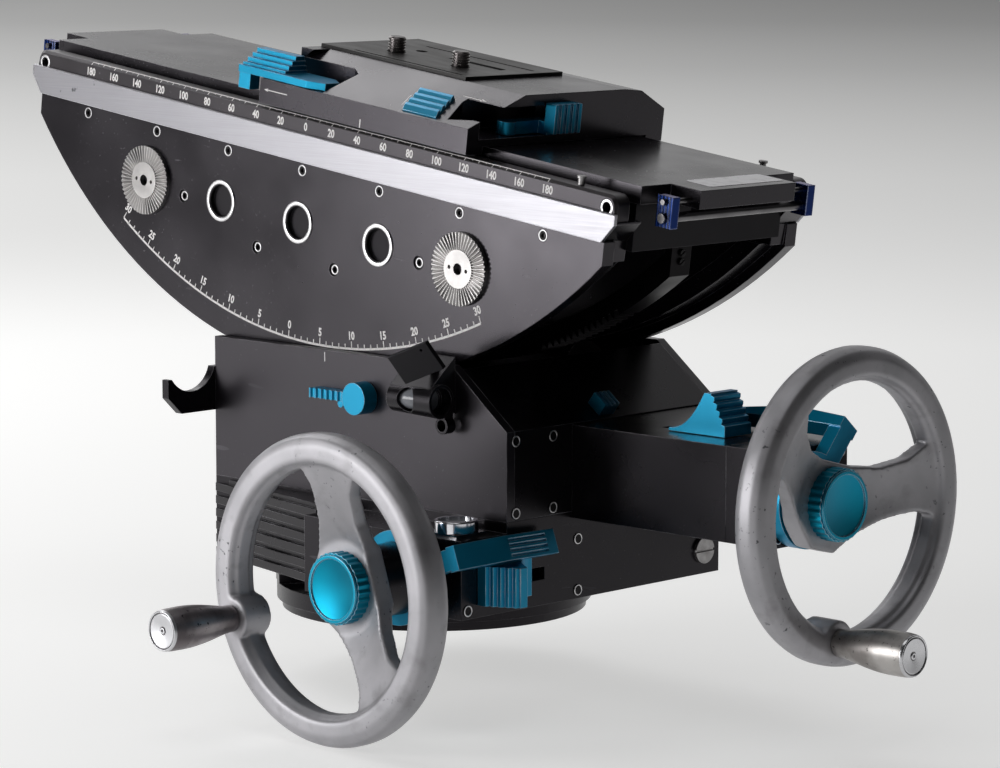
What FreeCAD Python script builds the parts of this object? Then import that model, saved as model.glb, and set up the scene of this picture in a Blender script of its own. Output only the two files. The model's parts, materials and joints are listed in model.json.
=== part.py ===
import FreeCAD, Part
import os
from math import acos, asin, atan2, cos, degrees, hypot, pi, radians, sin, sqrt, tan

# Geared tripod head: a rocking cradle with a sliding camera plate, carried by a turning body
# on a flat base.  Handwheels at the left side and at the rear drive pan and tilt.
# Millimetres, +Z up, +X to the rear (operator's end), +Y to the right side of the head.
# The origin is on the pan axis, in the underside of the base.

V = FreeCAD.Vector
os.makedirs("parts", exist_ok=True)

# ---------------------------------------------------------------- driving dimensions
# base
base_flange_r = 84.0
base_flange_h = 5.0
base_neck_r = 48.0
base_bore_r = 30.0
base_key_w = 12.7
base_hole_circle_r = 66.0
base_hole_r = 3.3
scale_ring_r = 87.0
scale_ring_bore_r = 60.0
scale_ring_h = 9.0
base_height = 24.0
bearing_wall = 6.4

# turning body
body_front_x = -88.3
body_rear_x = 135.7
body_left_y = -81.9
body_right_y = 81.9
body_plate = 5.7
cover_wall = 4.0
housing_floor = 4.0
housing_h = 46.5
body_h = 123.7
chamfer_x = 39.7
chamfer_z = 30.8
gearbox_left_y = -115.0
gearbox_front_x = 19.0
gearbox_h = 40.7

# cradle: u runs along the slide from under the tilt axis, heights are over the arc's lowest point
cradle_w = 149.0
cradle_r = 299.5
cradle_plate = 8.0
cradle_half = 222.0
cradle_overlap = 13.5
rail_bottom_h = 110.5
rail_h = 15.5
rail_proud = 2.0
rail_overhang = 7.0
rail_nose = 5.5
rail_rake = 8.0
rail_leg_rake = 9.0
rail_leg = 10.0
rail_leg_drop = 11.0
strip_h = 9.0
strip_foot = 4.5
strip_end_r = 5.6
strip_t = 10.0
strip_ring_inset = 0.8
strip_ring_rise = 2.2
strip_ring_r = 4.3
strip_hole_r = 2.6
track_edge = 5.5
track_depth = 10.0
track_w = 13.0
roller_r = 16.0
roller_gap = 0.3
roller_x = 64.5
roller_axle_r = 3.0
port_r = 9.0
port_floor = 2.0
port_u = 62.5
port_h = 77.5
rosette_u = 125.0
rosette_r = 19.25
rosette_t = 2.8
rosette_boss_r = 9.7
rosette_bore_r = 3.0
rosette_pin_u = 6.2
rosette_teeth = 48
plate_screw_pitch = 60.0
plate_screw_drop = 4.6
bolt_inner = (30.8, 57.8)
bolt_outer = (93.6, 74.3)
bolt_head_r = 3.6
screw_head_r = 3.0
screw_proud = 0.4
strap_screw_r = 1.95
strap_screw_t = 1.2
strap_screw_drop = (8.0, 12.7)
hook_t = 5.0
hook_left_y = -115.9
hook_tip_drop = 4.8

# slide bed, catches and camera block
bed_top_h = 139.5
bed_w = 117.0
bed_tongue_w = 73.0
bed_tongue_len = 20.0
bed_t = 9.5
bed_rib = 6.0
bed_rib_y = 33.0
bed_rib_h = 16.0
cross_t = 18.0
cross_inset = 4.0
cross_bottom_h = 105.0
catch_inset = 7.0
catch_rod_drop = 4.5
catch_rod_r = 2.5
catch_pin_depth = 5.8
catch_pin_r = 1.5
catch_y = 52.2
catch_size = (10.0, 5.5, 16.0)
catch_rise = 11.2
stop_pin_inset = 30.6
stop_pin_y = 69.7
stop_pin_r = 1.75
block_half = 79.5
block_centre = 41.2
block_clearance = 3.3
block_shoulder_h = 10.3
block_right_shoulder_h = 14.4
block_h = 26.2
block_flat_left_y = -33.5
block_flat_right_y = 42.9
block_wall = 7.0
block_brow = 9.5
gib_lip = 2.9
gib_leg = 4.2
pad_t = 1.8
pad_slot_off, pad_slot_w = 16.5, 5.0
pad_slot_u = (22.0, 62.0)
pad_groove_y = (-29.0, 25.5)
pad_groove_in = 23.3
camera_screw_r = 4.76
camera_screw_neck_r = 4.2
camera_screw_h = 8.3
camera_screw_y = -7.5
camera_screw_u = (-4.0, 45.5)

# pose in which the head stands
rest_tilt = 7.36

# handwheels
wheel_r = 79.5
wheel_rim = 15.0
wheel_depth = 18.0
wheel_dish = 17.0
wheel_web = 8.0
wheel_hub_r = 24.0
wheel_hub_len = 12.0
wheel_boss_r = 11.0
wheel_knob_r = 18.5
wheel_knob_len = 9.2
crank_inset = 12.5
crank_len = 46.0
crank_root_r = 7.0
crank_end_r = 11.0
crank_pin_r = 4.0
shaft_r = 5.0
barrel_r = 18.5
pan_wheel_stand = 71.0
pan_wheel_x = 104.0
pan_wheel_z = 44.2
pan_window_angle = 19.0
tilt_wheel_stand = 41.9
tilt_wheel_y = -13.7
tilt_window_angle = 75.0

# tilt gear case on the rear
case_left = 19.8
case_right_root = 87.7
case_right_end = 38.7
case_up = 25.5
case_down = 23.5
case_wall = 4.0
case_len = 105.8
case_end_len = 30.1

# screws on the rear: insets from the edges of what they hold
cover_screw_y = (6.4, 34.0)
cover_screw_rise = 4.0
cover_screw_drop = 5.0
gearbox_screw_in = 4.5
gearbox_screw_mid = 52.9
gearbox_screw_drop = 9.0
plug_in, plug_rise = 12.0, 13.0
plug_r, plug_t, plug_slot = 7.2, 2.0, 1.4
case_screw_in = 5.0
hook_screw_y = (7.0, 16.0)
hook_screw_drop = 13.0
hook_screw_t = 1.2

# levels
level_x0, level_x1 = 68.0, 101.0
level_y, level_r, level_flare = -94.5, 7.7, 1.2
level_drop = 17.0
level_wedge = (-100.0, 22.0)
mirror_x = 90.0
mirror_rise = 17.3
mirror_size = (29.5, 16.8, 2.6)
mirror_turn = 20.4
mirror_overhang = 28.2
round_x, round_y, round_r = 117.5, -100.5, 11.5
round_h = 7.8

# levers on the body
lock_x, lock_drop, lock_r = 32.0, 22.5, 8.6
lock_pin_r = 3.0
lock_depth = 9.3
lock_len = 36.0
selector_len, selector_w, selector_h = 38.0, 20.5, 22.0
selector_travel = 12.0
selector_slot = 6.6
selector_tongue = 10.0
pan_selector_y, pan_selector_z = -103.5, 40.9
tilt_selector_reach = 89.0
tilt_selector_y = -5.0
release_in, release_out, release_w = 41.0, 47.0, 13.0
release_len = 76.0
collar_len = 8.0
collar_wall = 6.0
pan_release_gap = 8.0
tilt_release_gap = 0.8
pan_release_lean = 20.0
tilt_release_lean = 139.0
slider_travel = 10.0
slider_y = -6.0
slider_share = 0.14

# levers on the camera block
lever_pivot_u, lever_pivot_y, lever_pivot_r = 3.0, -62.0, 3.0
lever_pivot_depth = 7.0
lever_overhang = 20.0
lever_step = (3.2, 2.4)
release_pivot_y, release_pivot_r = -38.0, 2.5
release_pivot_inset = 8.0
release_pin_depth = 2.5
release_floor = 6.0
pocket_y = (22.0, 4.0, 8.5)
release_grip_y = (-18.5, 1.5)
safety_u = 78.5
safety_size = (25.0, 22.0)
safety_skew = 8.0

# gears
module_main = 1.5
ring_teeth = 100
pan_pinion_teeth = 16
tilt_gear_teeth = 62
tilt_gear_w = 10.0
tilt_gear_y = -2.0
module_bevel = 1.4
bevel_pinion_teeth = 14
bevel_crown_teeth = 42
bevel_face = 8.0
crown_back = 4.0
pinion_back = 6.0
module_lay = 1.0
lay_pinion_teeth = 14
lay_gear_teeth = 28
lay_gear_w = 8.0
ring_gear_h = 8.0
tilt_gear_x = -18.5
sector_edge = 2.5
sector_y = 2.0
sector_w = 15.0
sector_back = 8.6
sector_tooth_angle = 36.0
sector_tab_t = 5.0
sector_tab_overlap = 12.0
sector_tab_drop = 20.0
backlash = 0.35

# fits
running = 0.05
gap = 0.3

# ---------------------------------------------------------------- derived places
body_top_z = base_height + body_h
tilt_axis_z = body_top_z - cradle_overlap + cradle_r
housing_top_z = base_height + housing_h
gearbox_top_z = base_height + gearbox_h
plate_y = cradle_w / 2
rail_bottom_w = rail_bottom_h - cradle_r
rail_top_w = rail_bottom_w + rail_h
rail_leg_w = rail_bottom_w - rail_leg_drop
rail_half = cradle_half + rail_overhang
plate_screw_w = rail_bottom_w - plate_screw_drop
strip_top_w = rail_top_w + strip_h
strip_ring_u = cradle_half - strip_ring_inset
strip_ring_w = rail_top_w + strip_ring_rise
track_r = cradle_r - track_edge
port_w = port_h - cradle_r
bolts = [(u, h - cradle_r) for u, h in (bolt_inner, bolt_outer)]
bed_half = rail_half + bed_tongue_len
bed_top_w = bed_top_h - cradle_r
bed_bottom_w = bed_top_w - bed_t
cross_u = (rail_half - cross_inset - cross_t, rail_half - cross_inset)
cross_bottom_w = cross_bottom_h - cradle_r
catch_u = bed_half - catch_inset
catch_rod_w = bed_bottom_w - catch_rod_drop
catch_pin_w = bed_top_w - catch_pin_depth
stop_pin_u = rail_half - stop_pin_inset
block_bottom_w = bed_top_w - block_clearance
block_shoulder_w = bed_top_w + block_shoulder_h
block_right_shoulder_w = bed_top_w + block_right_shoulder_h
block_top_w = bed_top_w + block_h
sector_teeth = 2 * round((cradle_r - sector_edge) / module_main)
sector_r = module_main * (sector_teeth + 1.8) / 2
sector_root_r = module_main * (sector_teeth - 2.5) / 2
sector_end_w = -sqrt(sector_r ** 2 - cross_u[0] ** 2)
sector_pitch_r = module_main * sector_teeth / 2
tilt_gear_pitch_r = module_main * tilt_gear_teeth / 2
tilt_centres = sector_pitch_r + tilt_gear_pitch_r
tilt_shaft_z = tilt_axis_z - sqrt(tilt_centres ** 2 - tilt_gear_x ** 2)
ring_pitch_r = module_main * ring_teeth / 2
pan_pinion_pitch_r = module_main * pan_pinion_teeth / 2
pan_centres = ring_pitch_r + pan_pinion_pitch_r
lay_centres = module_lay * (lay_pinion_teeth + lay_gear_teeth) / 2
lay_x = pan_wheel_x - lay_centres
pinion_y = -sqrt(pan_centres ** 2 - lay_x ** 2)
bevel_pinion_r = module_bevel * bevel_pinion_teeth / 2
bevel_crown_r = module_bevel * bevel_crown_teeth / 2
ring_gear_z = base_height + housing_floor + gap
case_end_x = body_rear_x + case_len + case_end_len
tilt_wheel_x = case_end_x + tilt_wheel_stand
tilt_selector_x = body_rear_x + tilt_selector_reach
pan_wheel_y = gearbox_left_y - pan_wheel_stand
crank_r = wheel_r - crank_inset
roller_centre_r = track_r + roller_r + roller_gap
roller_z = tilt_axis_z - sqrt(roller_centre_r ** 2 - roller_x ** 2)
level_z = body_top_z - level_drop
mirror_z = level_z + mirror_rise
mirror_pin_end = body_left_y - 1.0
round_top = gearbox_top_z + round_h
hook_top = body_top_z - 16.7
lock_z = body_top_z - lock_drop
slope_lean = degrees(atan2(chamfer_z, chamfer_x))
slider_x = body_rear_x - chamfer_x * slider_share
slider_z = body_top_z - chamfer_z * (1 - slider_share)
block_u0 = block_centre - block_half
block_u1 = block_centre + block_half
block_lean = degrees(atan2(block_h - block_shoulder_h, block_flat_left_y + cradle_w / 2))
release_pivot_u = block_u1 - release_pivot_inset


# ---------------------------------------------------------------- small tools
def box(x0, x1, y0, y1, z0, z1):
    return Part.makeBox(x1 - x0, y1 - y0, z1 - z0, V(x0, y0, z0))


def rod(axis, a, b, p, q, r):
    """Cylinder along an axis from a to b; p and q are the other two coordinates in x, y, z order."""
    start, end = min(a, b), max(a, b)
    if axis == "x":
        return Part.makeCylinder(r, end - start, V(start, p, q), V(1, 0, 0))
    if axis == "y":
        return Part.makeCylinder(r, end - start, V(p, start, q), V(0, 1, 0))
    return Part.makeCylinder(r, end - start, V(p, q, start), V(0, 0, 1))


def tube(axis, a, b, p, q, r_out, r_in):
    return rod(axis, a, b, p, q, r_out).cut(rod(axis, min(a, b) - 1, max(a, b) + 1, p, q, r_in))


def prism(axis, points, a, b):
    """Extrude a closed outline, given in the two other coordinates, from a to b."""
    if axis == "x":
        corners = [V(a, p, q) for p, q in points]
        way = V(b - a, 0, 0)
    elif axis == "y":
        corners = [V(p, a, q) for p, q in points]
        way = V(0, b - a, 0)
    else:
        corners = [V(p, q, a) for p, q in points]
        way = V(0, 0, b - a)
    wire = Part.makePolygon(corners + [corners[0]])
    return Part.Face(wire).extrude(way)


def fuse(shapes):
    shapes = list(shapes)
    joined = shapes[0].multiFuse(shapes[1:]) if len(shapes) > 1 else shapes[0]
    return joined.removeSplitter()


def cut(shape, tools):
    for tool in tools:
        shape = shape.cut(tool)
    return shape


def mirrored(shape):
    """The same piece for the other side of the head."""
    return shape.mirror(V(0, 0, 0), V(0, 1, 0))


def in_cradle(shape):
    """Move a piece drawn about the tilt axis, level, to where it stands at rest."""
    shape = shape.copy()
    shape.rotate(V(0, 0, 0), V(0, 1, 0), rest_tilt)
    shape.translate(V(0, 0, tilt_axis_z))
    return shape


def save(name, *shapes):
    shape = shapes[0] if len(shapes) == 1 else Part.makeCompound(list(shapes))
    shape.exportStep(f"parts/{name}.step")
    print(f"{name:24s} {len(shape.Solids):3d} solids  {shape.Volume / 1000:9.1f} cm3")


# ---------------------------------------------------------------- gear teeth
def involute(angle):
    return tan(angle) - angle


def tooth_half_angle(m, n, r):
    """Half the angle that one tooth takes at radius r, thinned for backlash."""
    pressure = radians(20)
    pitch = m * n / 2
    base = pitch * cos(pressure)
    here = acos(min(1.0, base / max(r, base)))
    return (pi / 2 - backlash / m) / n + involute(pressure) - involute(here)


def tooth_row(m, n, first, count, phase):
    """Outline points of count teeth, the first one centred on the angle phase."""
    root, pitch, tip = m * (n - 2.5) / 2, m * n / 2, m * (n + 1.8) / 2
    points = []
    for k in range(first, first + count):
        centre = phase + 2 * pi * k / n
        for r, side in ((root, -1), (pitch, -1), (tip, -1), (tip, 1), (pitch, 1), (root, 1)):
            angle = centre + side * tooth_half_angle(m, n, r)
            points.append((r * cos(angle), r * sin(angle)))
    return points


def spur(axis, m, n, a, b, p, q, phase):
    """Full spur gear along an axis; phase is the angle of one tooth from the first plane direction."""
    gear = prism(axis, tooth_row(m, n, 0, n, phase), a, b)
    shift = {"x": V(0, p, q), "y": V(p, 0, q), "z": V(p, q, 0)}[axis]
    gear.translate(shift)
    return gear


def bevel(m, n, mate, face, bore_back, phase):
    """Straight bevel gear with its apex at the origin and its axis along +Z."""
    r_pitch, r_mate = m * n / 2, m * mate / 2
    length = hypot(r_pitch, r_mate)
    lean = atan2(r_pitch, r_mate)
    inner = (length - face) / length
    add, ded = 0.85 * m, 1.2 * m
    radial = V(sin(lean), 0, cos(lean))
    height = V(cos(lean), 0, -sin(lean))
    half = (pi * m / 2 - backlash) / 2
    n_back = n / cos(lean)

    def section(scale):
        corners = []
        for h, side in ((-ded, -1), (0, -1), (add, -1), (add, 1), (0, 1), (-ded, 1)):
            r_back = m * n_back / 2 + h
            t = r_back * tooth_half_angle(m, n_back, r_back) if n_back < 60 else half - h * tan(radians(20))
            corners.append((radial * length + height * h + V(0, side * t, 0)) * scale)
        return Part.makePolygon(corners + [corners[0]])

    tooth = Part.makeLoft([section(inner), section(1.0)], True, True)
    root_out = radial * length - height * (ded - 0.05)
    root_in = root_out * inner
    back = V(0, 0, root_out.z + bore_back)
    profile = Part.makePolygon([V(0, 0, root_in.z), root_in, root_out,
                                V(root_out.x, 0, back.z), back, V(0, 0, root_in.z)])
    body = Part.Face(profile).revolve(V(0, 0, 0), V(0, 0, 1), 360)
    teeth = []
    for k in range(n):
        copy = tooth.copy()
        copy.rotate(V(0, 0, 0), V(0, 0, 1), degrees(phase + 2 * pi * k / n))
        teeth.append(copy)
    return body.multiFuse(teeth)


# ---------------------------------------------------------------- base
def base_plate():
    flange = rod("z", 0, base_flange_h, 0, 0, base_flange_r)
    neck = rod("z", base_flange_h, ring_gear_z, 0, 0, base_neck_r)
    holes = [rod("z", -1, base_flange_h + 1, base_hole_circle_r * cos(a), base_hole_circle_r * sin(a),
                 base_hole_r) for a in (radians(45 + 90 * k) for k in range(4))]
    bore = rod("z", -1, ring_gear_z + 1, 0, 0, base_bore_r)
    key = box(base_bore_r - 2, base_bore_r + 14, -base_key_w / 2, base_key_w / 2, -1, base_flange_h - 1)
    save("base_plate", cut(flange.fuse(neck).removeSplitter(), holes + [bore, key]))


def pan_scale_ring():
    top = base_flange_h + scale_ring_h
    ring = tube("z", base_flange_h, top, 0, 0, scale_ring_r, scale_ring_bore_r)
    seat = box(-9, 9, -scale_ring_r, -scale_ring_r + 20, top, top + 5)
    seat.rotate(V(0, 0, 0), V(0, 0, 1), -37)
    save("pan_scale_ring", ring.fuse(seat).removeSplitter())


def pan_bearing():
    thrust = tube("z", base_flange_h, base_height - gap, 0, 0, base_neck_r + bearing_wall, base_neck_r)
    journal = tube("z", base_height - gap, ring_gear_z, 0, 0, base_neck_r + bearing_wall, base_neck_r)
    save("pan_bearing", thrust.fuse(journal).removeSplitter())


def pan_ring_gear():
    mesh = atan2(pinion_y, lay_x)
    gear = spur("z", module_main, ring_teeth, ring_gear_z, ring_gear_z + ring_gear_h, 0, 0, mesh)
    save("pan_ring_gear", gear.cut(rod("z", 0, base_height * 3, 0, 0, base_bore_r + 6)))


# ---------------------------------------------------------------- turning body
def pan_housing():
    top = housing_top_z
    outer = box(body_front_x, body_rear_x, body_left_y, body_right_y + 1, base_height, top)
    inner = box(body_front_x + cover_wall, body_rear_x - cover_wall, body_left_y + cover_wall,
                body_right_y + 1 - cover_wall, base_height + housing_floor, top + 1)
    room = box(gearbox_front_x, body_rear_x, gearbox_left_y, body_left_y, base_height, gearbox_top_z)
    hollow = box(gearbox_front_x + cover_wall, body_rear_x - cover_wall, gearbox_left_y + cover_wall,
                 body_left_y, base_height + housing_floor, gearbox_top_z - cover_wall)
    shell = cut(outer.fuse(room), [inner, hollow])
    centre_bore = rod("z", 0, top, 0, 0, base_neck_r + bearing_wall + running)
    lay_bore = rod("y", gearbox_left_y - 1, body_left_y + cover_wall + 1, lay_x, pan_wheel_z,
                   shaft_r + running)
    lay_cap = rod("y", gearbox_left_y, gearbox_left_y + 1.5, lay_x, pan_wheel_z, shaft_r + 1)
    wheel_bore = rod("y", gearbox_left_y - 1, gearbox_left_y + cover_wall + 1, pan_wheel_x, pan_wheel_z,
                     shaft_r + running)
    pinion_bore = rod("z", base_height - 1, base_height + housing_floor + 1, lay_x, pinion_y,
                      shaft_r + running)
    plug = rod("z", base_height, base_height + 0.8, lay_x, pinion_y, shaft_r + running)
    y_tongue = pan_selector_y + selector_len - selector_tongue - 1.0
    slot = box(body_rear_x - cover_wall - 1, body_rear_x + 1, y_tongue - 0.5,
               y_tongue + selector_tongue + selector_travel + 0.5, pan_selector_z - selector_slot / 2,
               pan_selector_z + selector_slot / 2)
    shell = cut(shell, [centre_bore, lay_bore, wheel_bore, pinion_bore, slot])
    floor_plate = box(lay_x - 9, lay_x + 9, pinion_y - 9, pinion_y + 9, base_height, base_height + 0.8)
    save("pan_housing", fuse([shell, plug, floor_plate, lay_cap]))


def body_side(name, side):
    y_out = body_left_y if side < 0 else body_right_y
    y_in = y_out - side * body_plate
    rear = body_rear_x
    outline = [(body_front_x, housing_top_z), (rear, housing_top_z), (rear, body_top_z - chamfer_z),
               (rear - chamfer_x, body_top_z), (body_front_x, body_top_z)]
    plate = prism("y", outline, min(y_in, y_out), max(y_in, y_out))
    holes = []
    for x in (-roller_x, roller_x):
        holes.append(rod("y", y_in + side * 3.5, y_in - side, x, roller_z, roller_axle_r + running))
    holes.append(rod("y", y_in + side * 3.5, y_in - side, tilt_gear_x, tilt_shaft_z, shaft_r + running))
    if side < 0:
        holes.append(rod("y", y_out - 1, y_in - 0.8, lock_x, lock_z, lock_pin_r + running))
    save(name, cut(plate, holes))


def front_cover():
    y = body_right_y - body_plate
    top = tilt_axis_z - sqrt((cradle_r + 3.0) ** 2 - (body_front_x + cover_wall) ** 2)
    save("front_cover", box(body_front_x, body_front_x + cover_wall, -y, y, housing_top_z, top))


def rear_cover():
    y = body_right_y - body_plate
    rear = body_rear_x
    slope = hypot(chamfer_x, chamfer_z)
    nx, nz = chamfer_z / slope * cover_wall, chamfer_x / slope * cover_wall
    share = 0.06
    top = (rear - chamfer_x * (1 - share), body_top_z - chamfer_z * share)
    knee = (rear, body_top_z - chamfer_z)
    outline = [(rear, housing_top_z), knee, top, (top[0] - nx, top[1] - nz),
               (rear - cover_wall, body_top_z - chamfer_z - 1.6), (rear - cover_wall, housing_top_z)]
    shell = prism("y", outline, -y, y)
    shaft = rod("x", rear - 2 * cover_wall, rear + 1, tilt_wheel_y, tilt_shaft_z, shaft_r + running)
    save("rear_cover", cut(shell, [shaft, slider_slot()]))


def ribbed_cover():
    """Finned wedge that widens from nothing at the front to the side of the gearbox."""
    top, bottom = housing_top_z - 1.5, base_height + 2.0
    left, right = body_front_x, gearbox_front_x
    y0, y_rear = body_left_y, gearbox_left_y + 8.5
    full = [(left, y0), (right, y0), (right, y_rear), (left, y0 - 0.5)]
    core = [(left + 12, y0), (right, y0), (right, y_rear + 2), (left + 12, y0 - 1.2)]
    pieces = [prism("z", core, bottom, top)]
    ribs = 6
    pitch = (top - bottom) / ribs
    for k in range(ribs):
        z = bottom + k * pitch
        pieces.append(prism("z", full, z, z + pitch * 0.62))
    save("ribbed_cover", fuse(pieces))


def tilt_case_block(x0, x1, inset):
    """Length of the tapered case from x0 to x1, drawn in by inset on its four long sides."""
    slope = (case_right_end - case_right_root) / (case_end_x - body_rear_x)
    near = tilt_wheel_y - case_left + inset
    far = [tilt_wheel_y + case_right_root - inset + slope * (x - body_rear_x) for x in (x0, x1)]
    outline = [(x0, near), (x1, near), (x1, far[1]), (x0, far[0])]
    return prism("z", outline, tilt_shaft_z - case_down + inset, tilt_shaft_z + case_up - inset)


def tilt_gear_case():
    x0, x1 = body_rear_x, body_rear_x + case_len
    top = tilt_shaft_z + case_up
    shell = tilt_case_block(x0, x1, 0).cut(tilt_case_block(x0 + case_wall, x1 + 1, case_wall))
    shaft = rod("x", x0 - 1, x1 + 1, tilt_wheel_y, tilt_shaft_z, shaft_r + running)
    x_tongue = tilt_selector_x - selector_len + 1.0
    slot = box(x_tongue - selector_travel - 0.5, x_tongue + selector_tongue + 0.5,
               tilt_selector_y - selector_slot / 2, tilt_selector_y + selector_slot / 2,
               top - case_wall - 1, top + 1)
    save("tilt_gear_case", cut(shell, [shaft, slot]))


def tilt_case_end():
    x0, x1 = body_rear_x + case_len, case_end_x
    shell = tilt_case_block(x0, x1, 0).cut(tilt_case_block(x0 - 1, x1 - 2 * case_wall, case_wall))
    shaft = rod("x", x0 - 1, x1 + 1, tilt_wheel_y, tilt_shaft_z, shaft_r + running)
    save("tilt_case_end", shell.cut(shaft))


def wheel_barrels():
    hub_back = wheel_dish + 3 + wheel_hub_len
    pan = tube("y", gearbox_left_y, pan_wheel_y + hub_back + gap, pan_wheel_x, pan_wheel_z,
               barrel_r, shaft_r + running)
    tilt = tube("x", case_end_x, tilt_wheel_x - hub_back - gap, tilt_wheel_y, tilt_shaft_z,
                barrel_r, shaft_r + running)
    save("wheel_barrels", pan, tilt)


def wheel_hook():
    """Plate on the front wall with a round notch, to hang a cable in."""
    x1 = body_front_x
    tip = hook_top - hook_tip_drop
    bottom = tip - 19.3
    notch_y, notch_r = hook_left_y + 16.9, 17.0
    outline = [(-58, bottom), (hook_left_y + 9.5, bottom), (hook_left_y, bottom + 9.2),
               (hook_left_y, tip), (notch_y, tip), (notch_y, hook_top), (-58, hook_top)]
    plate = prism("x", outline, x1 - hook_t, x1)
    notch = rod("x", x1 - hook_t - 1, x1 + 1, notch_y, tip + 9.4, notch_r)
    save("wheel_hook", plate.cut(notch))


def body_screws():
    """Cap screws: rear cover and plates, gearbox, end of the tilt case, hook; one slotted plug."""
    heads = []
    rear = body_rear_x
    cover_z = (housing_top_z + cover_screw_rise, body_top_z - chamfer_z - cover_screw_drop)
    places = [(body_left_y + inset, z) for inset in cover_screw_y for z in cover_z]
    low = base_height + gearbox_screw_in
    places += [(gearbox_left_y + gearbox_screw_in, low), (body_left_y + gearbox_screw_mid, low),
               (body_left_y + gearbox_screw_mid, gearbox_top_z - gearbox_screw_drop)]
    for y, z in places:
        heads.append(rod("x", rear, rear + screw_proud, y, z, screw_head_r))
    plug_y, plug_z = body_right_y - plug_in, base_height + plug_rise
    plug = rod("x", rear, rear + plug_t, plug_y, plug_z, plug_r)
    heads.append(plug.cut(box(rear + plug_t / 2, rear + plug_t + 1, plug_y - plug_r - 1, plug_y + plug_r + 1,
                              plug_z - plug_slot / 2, plug_z + plug_slot / 2)))
    for y in (tilt_wheel_y - case_left + case_screw_in, tilt_wheel_y + case_right_end - case_screw_in):
        for z in (tilt_shaft_z - case_down + case_screw_in, tilt_shaft_z + case_up - case_screw_in):
            heads.append(rod("x", case_end_x, case_end_x + screw_proud, y, z, screw_head_r))
    hook_x = body_front_x - hook_t
    for inset in hook_screw_y:
        heads.append(rod("x", hook_x - hook_screw_t, hook_x, body_left_y + inset, hook_top - hook_screw_drop,
                         screw_head_r))
    save("body_screws", *heads)


# ---------------------------------------------------------------- levels
def level_tube():
    """Tube for the vial, a sloped block over it against the body plate, a lug under its rear end."""
    barrel = Part.makeCone(level_r, level_r + level_flare, level_x1 - level_x0,
                           V(level_x0, level_y, level_z), V(1, 0, 0))
    bore = rod("x", level_x0 + 4, level_x1 + 1, level_y, level_z, level_r - 1.9)
    bore = bore.fuse(rod("x", level_x1 - 7, level_x1 + 1, level_y, level_z, level_r - 0.5))
    x_mid = level_x0 + 14.5
    window = rod("y", level_y - level_r - 1, level_y, x_mid, level_z, 6.4)
    front_y, rise = level_wedge
    profile = [(front_y, level_z + level_r - 1), (body_left_y, level_z + rise),
               (body_left_y, level_z - level_r), (level_y, level_z), (front_y, level_z + 4)]
    wedge = prism("x", profile, level_x0 + 1, level_x1 - 2.5)
    lug_x, lug_y, lug_z = level_x1 - 3.5, level_y + 6.5, level_z - level_r - 5.5
    lug = tube("y", lug_y - 3, lug_y + 3, lug_x, lug_z, 4.4, 3.0)
    neck = box(lug_x - 2.5, lug_x + 2.5, lug_y - 3, lug_y + 3, lug_z + 3.4, level_z)
    shell = fuse([barrel, wedge, neck, lug])
    pin = rod("y", mirror_pin_end + gap, level_y - 20, mirror_x, mirror_z, 2.4 + running)
    save("level_tube", cut(shell, [bore, window, pin]))


def level_vials():
    tube_glass = rod("x", level_x0 + 4, level_x1 - 8, level_y, level_z, level_r - 1.9)
    disc = rod("z", round_top - 3.0, round_top - 1.2, round_x, round_y, round_r - 2.2)
    save("level_vials", tube_glass, disc)


def round_level():
    top, bottom = round_top, gearbox_top_z
    cup = rod("z", bottom + 1.6, top, round_x, round_y, round_r)
    cup = cup.makeFillet(0.9, [e for e in cup.Edges if abs(e.BoundBox.ZMin - top) < 0.01
                               and abs(e.BoundBox.ZMax - top) < 0.01])
    hollow = rod("z", round_top - 3.0, top + 1, round_x, round_y, round_r - 2.2)
    foot = box(round_x - 14, round_x + 11, round_y - 11, round_y + 11, bottom, bottom + 1.6)
    save("round_level", fuse([foot, cup.cut(hollow)]))


def level_mirror():
    """Mirror plate that leans out over the tube; it swings on a pin in the sloped block."""
    length, width, thick = mirror_size
    plate = box(-length / 2, length / 2, 0, thick, -width / 2, width / 2)
    hole = rod("y", -1, thick + 1, length * 0.31, width / 2 - 3.0, 0.9)
    plate = plate.cut(hole)
    plate.rotate(V(0, 0, 0), V(1, 0, 0), mirror_overhang)
    plate.rotate(V(0, 0, 0), V(0, 1, 0), -mirror_turn)
    plate.translate(V(mirror_x + 3.6, level_y - 11.4, mirror_z + 3.0))
    pin = rod("y", level_y - 8.5, mirror_pin_end, mirror_x, mirror_z, 2.4)
    save("level_mirror", fuse([plate, pin]))


# ---------------------------------------------------------------- levers on the body
def on_slope(shape):
    """Move a piece drawn on the level, with its seat at z = 0, onto the sloped rear cover."""
    shape = shape.copy()
    shape.rotate(V(0, 0, 0), V(0, 1, 0), slope_lean)
    shape.translate(V(slider_x, slider_y, slider_z))
    return shape


def slider_slot():
    return on_slope(box(-2.3, 2.3, -3.3, 3.3 + slider_travel, -2 * cover_wall, 1))


def rear_slider():
    block = box(-5, 5, -5.5, 5.5, gap, 8.0)
    grooves = [box(-6, 6, -3.4 + 3.0 * k, -2.0 + 3.0 * k, 6.6, 9.0) for k in range(3)]
    tongue = box(-1.9, 1.9, -2.9, 2.9, -cover_wall - 1.5, gap)
    foot = box(-3.6, 3.6, -2.9, 2.9, -cover_wall - 3.0, -cover_wall - gap)
    save("rear_slider", on_slope(fuse([cut(block, grooves), tongue, foot])))


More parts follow.
